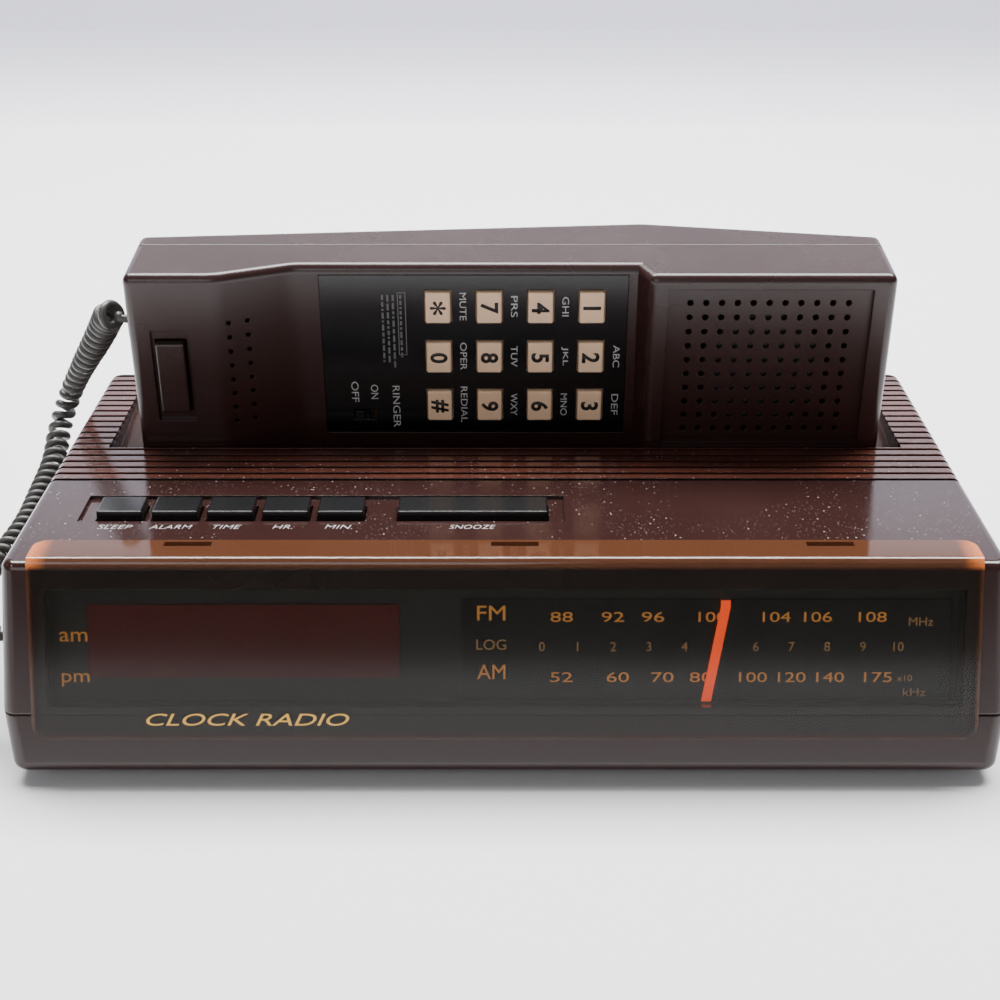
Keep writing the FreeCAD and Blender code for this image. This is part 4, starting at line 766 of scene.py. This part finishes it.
def on_face(turn, name):
    """The middle of a piece's front face in a turned frame."""
    low, high = box_in(turn, name)
    return Vector(((low.x + high.x) / 2, low.y, (low.z + high.z) / 2))


for name in KEY_NAMES:
    text = DIGIT.get(name, name[-1])
    tall = 4.6 * MM if text == "*" else 5.0 * MM
    wide = 4.2 * MM if text in "*#" else None
    bold = 0.012 if text == "*" else 0.03
    word = (text, on_face(HANDSET, name), tall, wide, 0)
    printed("digit_" + name[4:], body_of[name], ink_black, HANDSET, [word], READS_DOWN, bold)

# %% Letters on the panel
LETTERS = {
    "key_star": ("MUTE", 9.0),
    "key_0": ("OPER", 9.2),
    "key_hash": ("REDIAL", 12.4),
    "key_7": ("PRS", 6.9),
    "key_8": ("TUV", 7.0),
    "key_9": ("WXY", 7.6),
    "key_4": ("GHI", 6.3),
    "key_5": ("JKL", 6.3),
    "key_6": ("MNO", 7.6),
    "key_2": ("ABC", 7.4),
    "key_3": ("DEF", 7.2),
}
BESIDE_KEY = 7.0 * MM
panel_face = box_in(HANDSET, "keypad_panel")[0].y
letters = []
for name, (text, width) in LETTERS.items():
    place = on_face(HANDSET, name)
    place.x += BESIDE_KEY + (0.3 * MM if name in ("key_2", "key_3") else 0)
    place.y = panel_face
    letters.append((text, place, 1.9 * MM, width * 0.94 * MM, 0))
ringer = on_face(HANDSET, "ringer_switch")
for text, right, up, width in (("RINGER", 10.6, 2.6, 13.6), ("ON", 4.4, 7.4, 4.6), ("OFF", -1.2, 7.4, 6.6)):
    place = Vector((ringer.x + right * MM, panel_face, ringer.z + up * MM))
    letters.append((text, place, 2.1 * MM, width * MM, 0))
printed("panel_letters", "handset", ink_white, HANDSET, letters, READS_DOWN)

# %% Notice on the panel
# The maker's small print is left as an empty frame and plain bars.
NOTICE_RIGHT = 9.0 * MM
NOTICE_WIDE = 2.4 * MM
LINE = 0.28 * MM


def bars(name, body, finish, turn, boxes):
    """Flat bars of ink, each (left, low, right, high) on the panel's face."""
    shape = bmesh.new()
    for left, low, right, high in boxes:
        bar = bmesh.ops.create_cube(shape, size=1)["verts"]
        bmesh.ops.scale(shape, vec=(right - left, INK, high - low), verts=bar)
        middle = Vector(((left + right) / 2, panel_face - INK / 2, (low + high) / 2))
        bmesh.ops.transform(shape, matrix=turn @ Matrix.Translation(middle), verts=bar)
    made = finished(name, shape, body)
    wear(made, finish)


NOTICE_ABOVE_STAR = 4.4 * MM
NOTICE_ABOVE_ZERO = 0.4 * MM
LINE_PITCH = 1.5 * MM
BAR_HALF = 0.3 * MM
BAR_GAP = 0.6 * MM


def column(across, top, bottom, wave):
    """Bars of uneven length, one under another like lines of small print."""
    column_bars = []
    while top > bottom:
        stroke = (1.3 + 0.8 * math.sin(7 * top / MM + wave)) * MM
        column_bars.append((across - BAR_HALF, top - stroke, across + BAR_HALF, top))
        top -= stroke + BAR_GAP
    return column_bars


right = on_face(HANDSET, "key_star").x - NOTICE_RIGHT
left = right - NOTICE_WIDE
high = on_face(HANDSET, "key_star").z + NOTICE_ABOVE_STAR
low = on_face(HANDSET, "key_0").z + NOTICE_ABOVE_ZERO
notice = [
    (left, low, left + LINE, high),
    (right - LINE, low, right, high),
    (left, low, right, low + LINE),
    (left, high - LINE, right, high),
]
first_bar = high - 0.8 * MM
notice += column(left + 0.9 * MM, first_bar, low + 0.8 * MM, 0)
for line in (1, 2, 3):
    notice += column(left - line * LINE_PITCH + 0.3 * MM, first_bar, low - 2 * MM, line)
bars("panel_notice", "handset", ink_grey, HANDSET, notice)

# %% Button labels
LABELS = {
    "sleep_button": ("SLEEP", 9.0),
    "alarm_button": ("ALARM", 11.0),
    "time_button": ("TIME", 7.4),
    "hour_button": ("HR.", 5.2),
    "minute_button": ("MIN.", 7.2),
    "snooze_bar": ("SNOOZE", 12.0),
}
labels = []
for name, (text, width) in LABELS.items():
    low, high = (Vector(corner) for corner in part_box(name))
    place = Vector(((low.x + high.x) / 2, low.y - 4.4 * MM, case_top))
    labels.append((text, place, 2.3 * MM, width * MM, 0.25))
printed("button_labels", "base", ink_white, LEVEL, labels, LEVEL, bold=-0.012)
print("print is dry")

# %% [markdown]
# ## Floor, backdrop and light
#
# A white sheet curves up behind the set, and a wide soft lamp hangs above and behind it. The lamp draws the
# pale sheen on faces that look up and leaves the dial in soft shade, with a gentle shadow in front. Glossy
# faces show what stands round them, so the sheet is painted darker high up, where only the handset's top sees it.
# Its upright part is painted in a darker, bluish shade too.

# %% Floor and backdrop
FLOOR_BACK = 0.74
COVE = 0.06


def sweep_sheet():
    shape = bmesh.new()
    profile = [Vector((-3, -1.5, 0)), Vector((-3, FLOOR_BACK - COVE, 0))]
    start = [shape.verts.new(point) for point in profile]
    shape.edges.new(start)
    bend = bmesh.ops.spin(
        shape,
        geom=[start[1]],
        cent=(-3, FLOOR_BACK - COVE, COVE),
        axis=(1, 0, 0),
        angle=math.radians(90),
        steps=16,
    )
    top = [item for item in bend["geom_last"] if isinstance(item, bmesh.types.BMVert)][0]
    wall = bmesh.ops.extrude_vert_indiv(shape, verts=[top])
    bmesh.ops.translate(shape, verts=wall["verts"], vec=(0, 0, 2.5))
    wide = bmesh.ops.extrude_edge_only(shape, edges=shape.edges[:])
    moved = [item for item in wide["geom"] if isinstance(item, bmesh.types.BMVert)]
    bmesh.ops.translate(shape, verts=moved, vec=(6, 0, 0))
    bmesh.ops.recalc_face_normals(shape, faces=shape.faces)
    return shape


floor = finished("floor", sweep_sheet())
white_sheet = Finish("white_sheet")
# Painted shade: the upright part of the white sheet is coloured darker and bluer than the floor.
far = white_sheet.ramp(white_sheet.axis("Y"), FLOOR_BACK - 0.06, FLOOR_BACK)
# Higher up the sheet is painted near black, a painted dark for the glossy tops to reflect.
high_up = white_sheet.ramp(white_sheet.axis("Z"), 0.44, 0.50)
tone_and_wall_shade = white_sheet.mix(far, shade(0.85, 0.85, 0.86), shade(0.58, 0.58, 0.66))
white_sheet.set({
    "Base Color": white_sheet.mix(high_up, tone_and_wall_shade, shade(0.12, 0.115, 0.12)),
    "Roughness": 0.6,
})
wear(floor, white_sheet)

# %% Lights


def lamp(name, place, target, size, power, colour=(1, 1, 1)):
    light = bpy.data.lights.new(name, "AREA")
    light.shape = "RECTANGLE"
    light.size, light.size_y = size
    light.energy = power
    light.color = colour
    made = bpy.data.objects.new(name, light)
    made.location = place
    made.rotation_euler = (Vector(target) - Vector(place)).to_track_quat("-Z", "Y").to_euler()
    collection.objects.link(made)


lamp("softbox", (0.05, 0.42, 1.10), (0, -0.10, 0), (1.6, 0.5), 70)
lamp("fill", (-0.5, -1.2, 0.7), (0, 0, 0.03), (1.2, 0.6), 5)

# %% Room
# The room is pale up to the height of a table's far edge and dim above it, which is what the lens reflects.
PALE = shade(0.86, 0.85, 0.86)
DIM = shade(0.070, 0.068, 0.070)
EDGE_FROM = 0.040
EDGE_TO = 0.052
world = bpy.data.worlds.new("studio")
bpy.context.scene.world = world
room = Finish("studio", world)
direction = room.node("ShaderNodeTexCoord", output="Generated")
upward = room.node("ShaderNodeSeparateXYZ", None, {0: direction}, output="Z")
room.set({"Color": room.mix(room.ramp(upward, EDGE_FROM, EDGE_TO), PALE, DIM), "Strength": 2.0})
print("lamps lit")
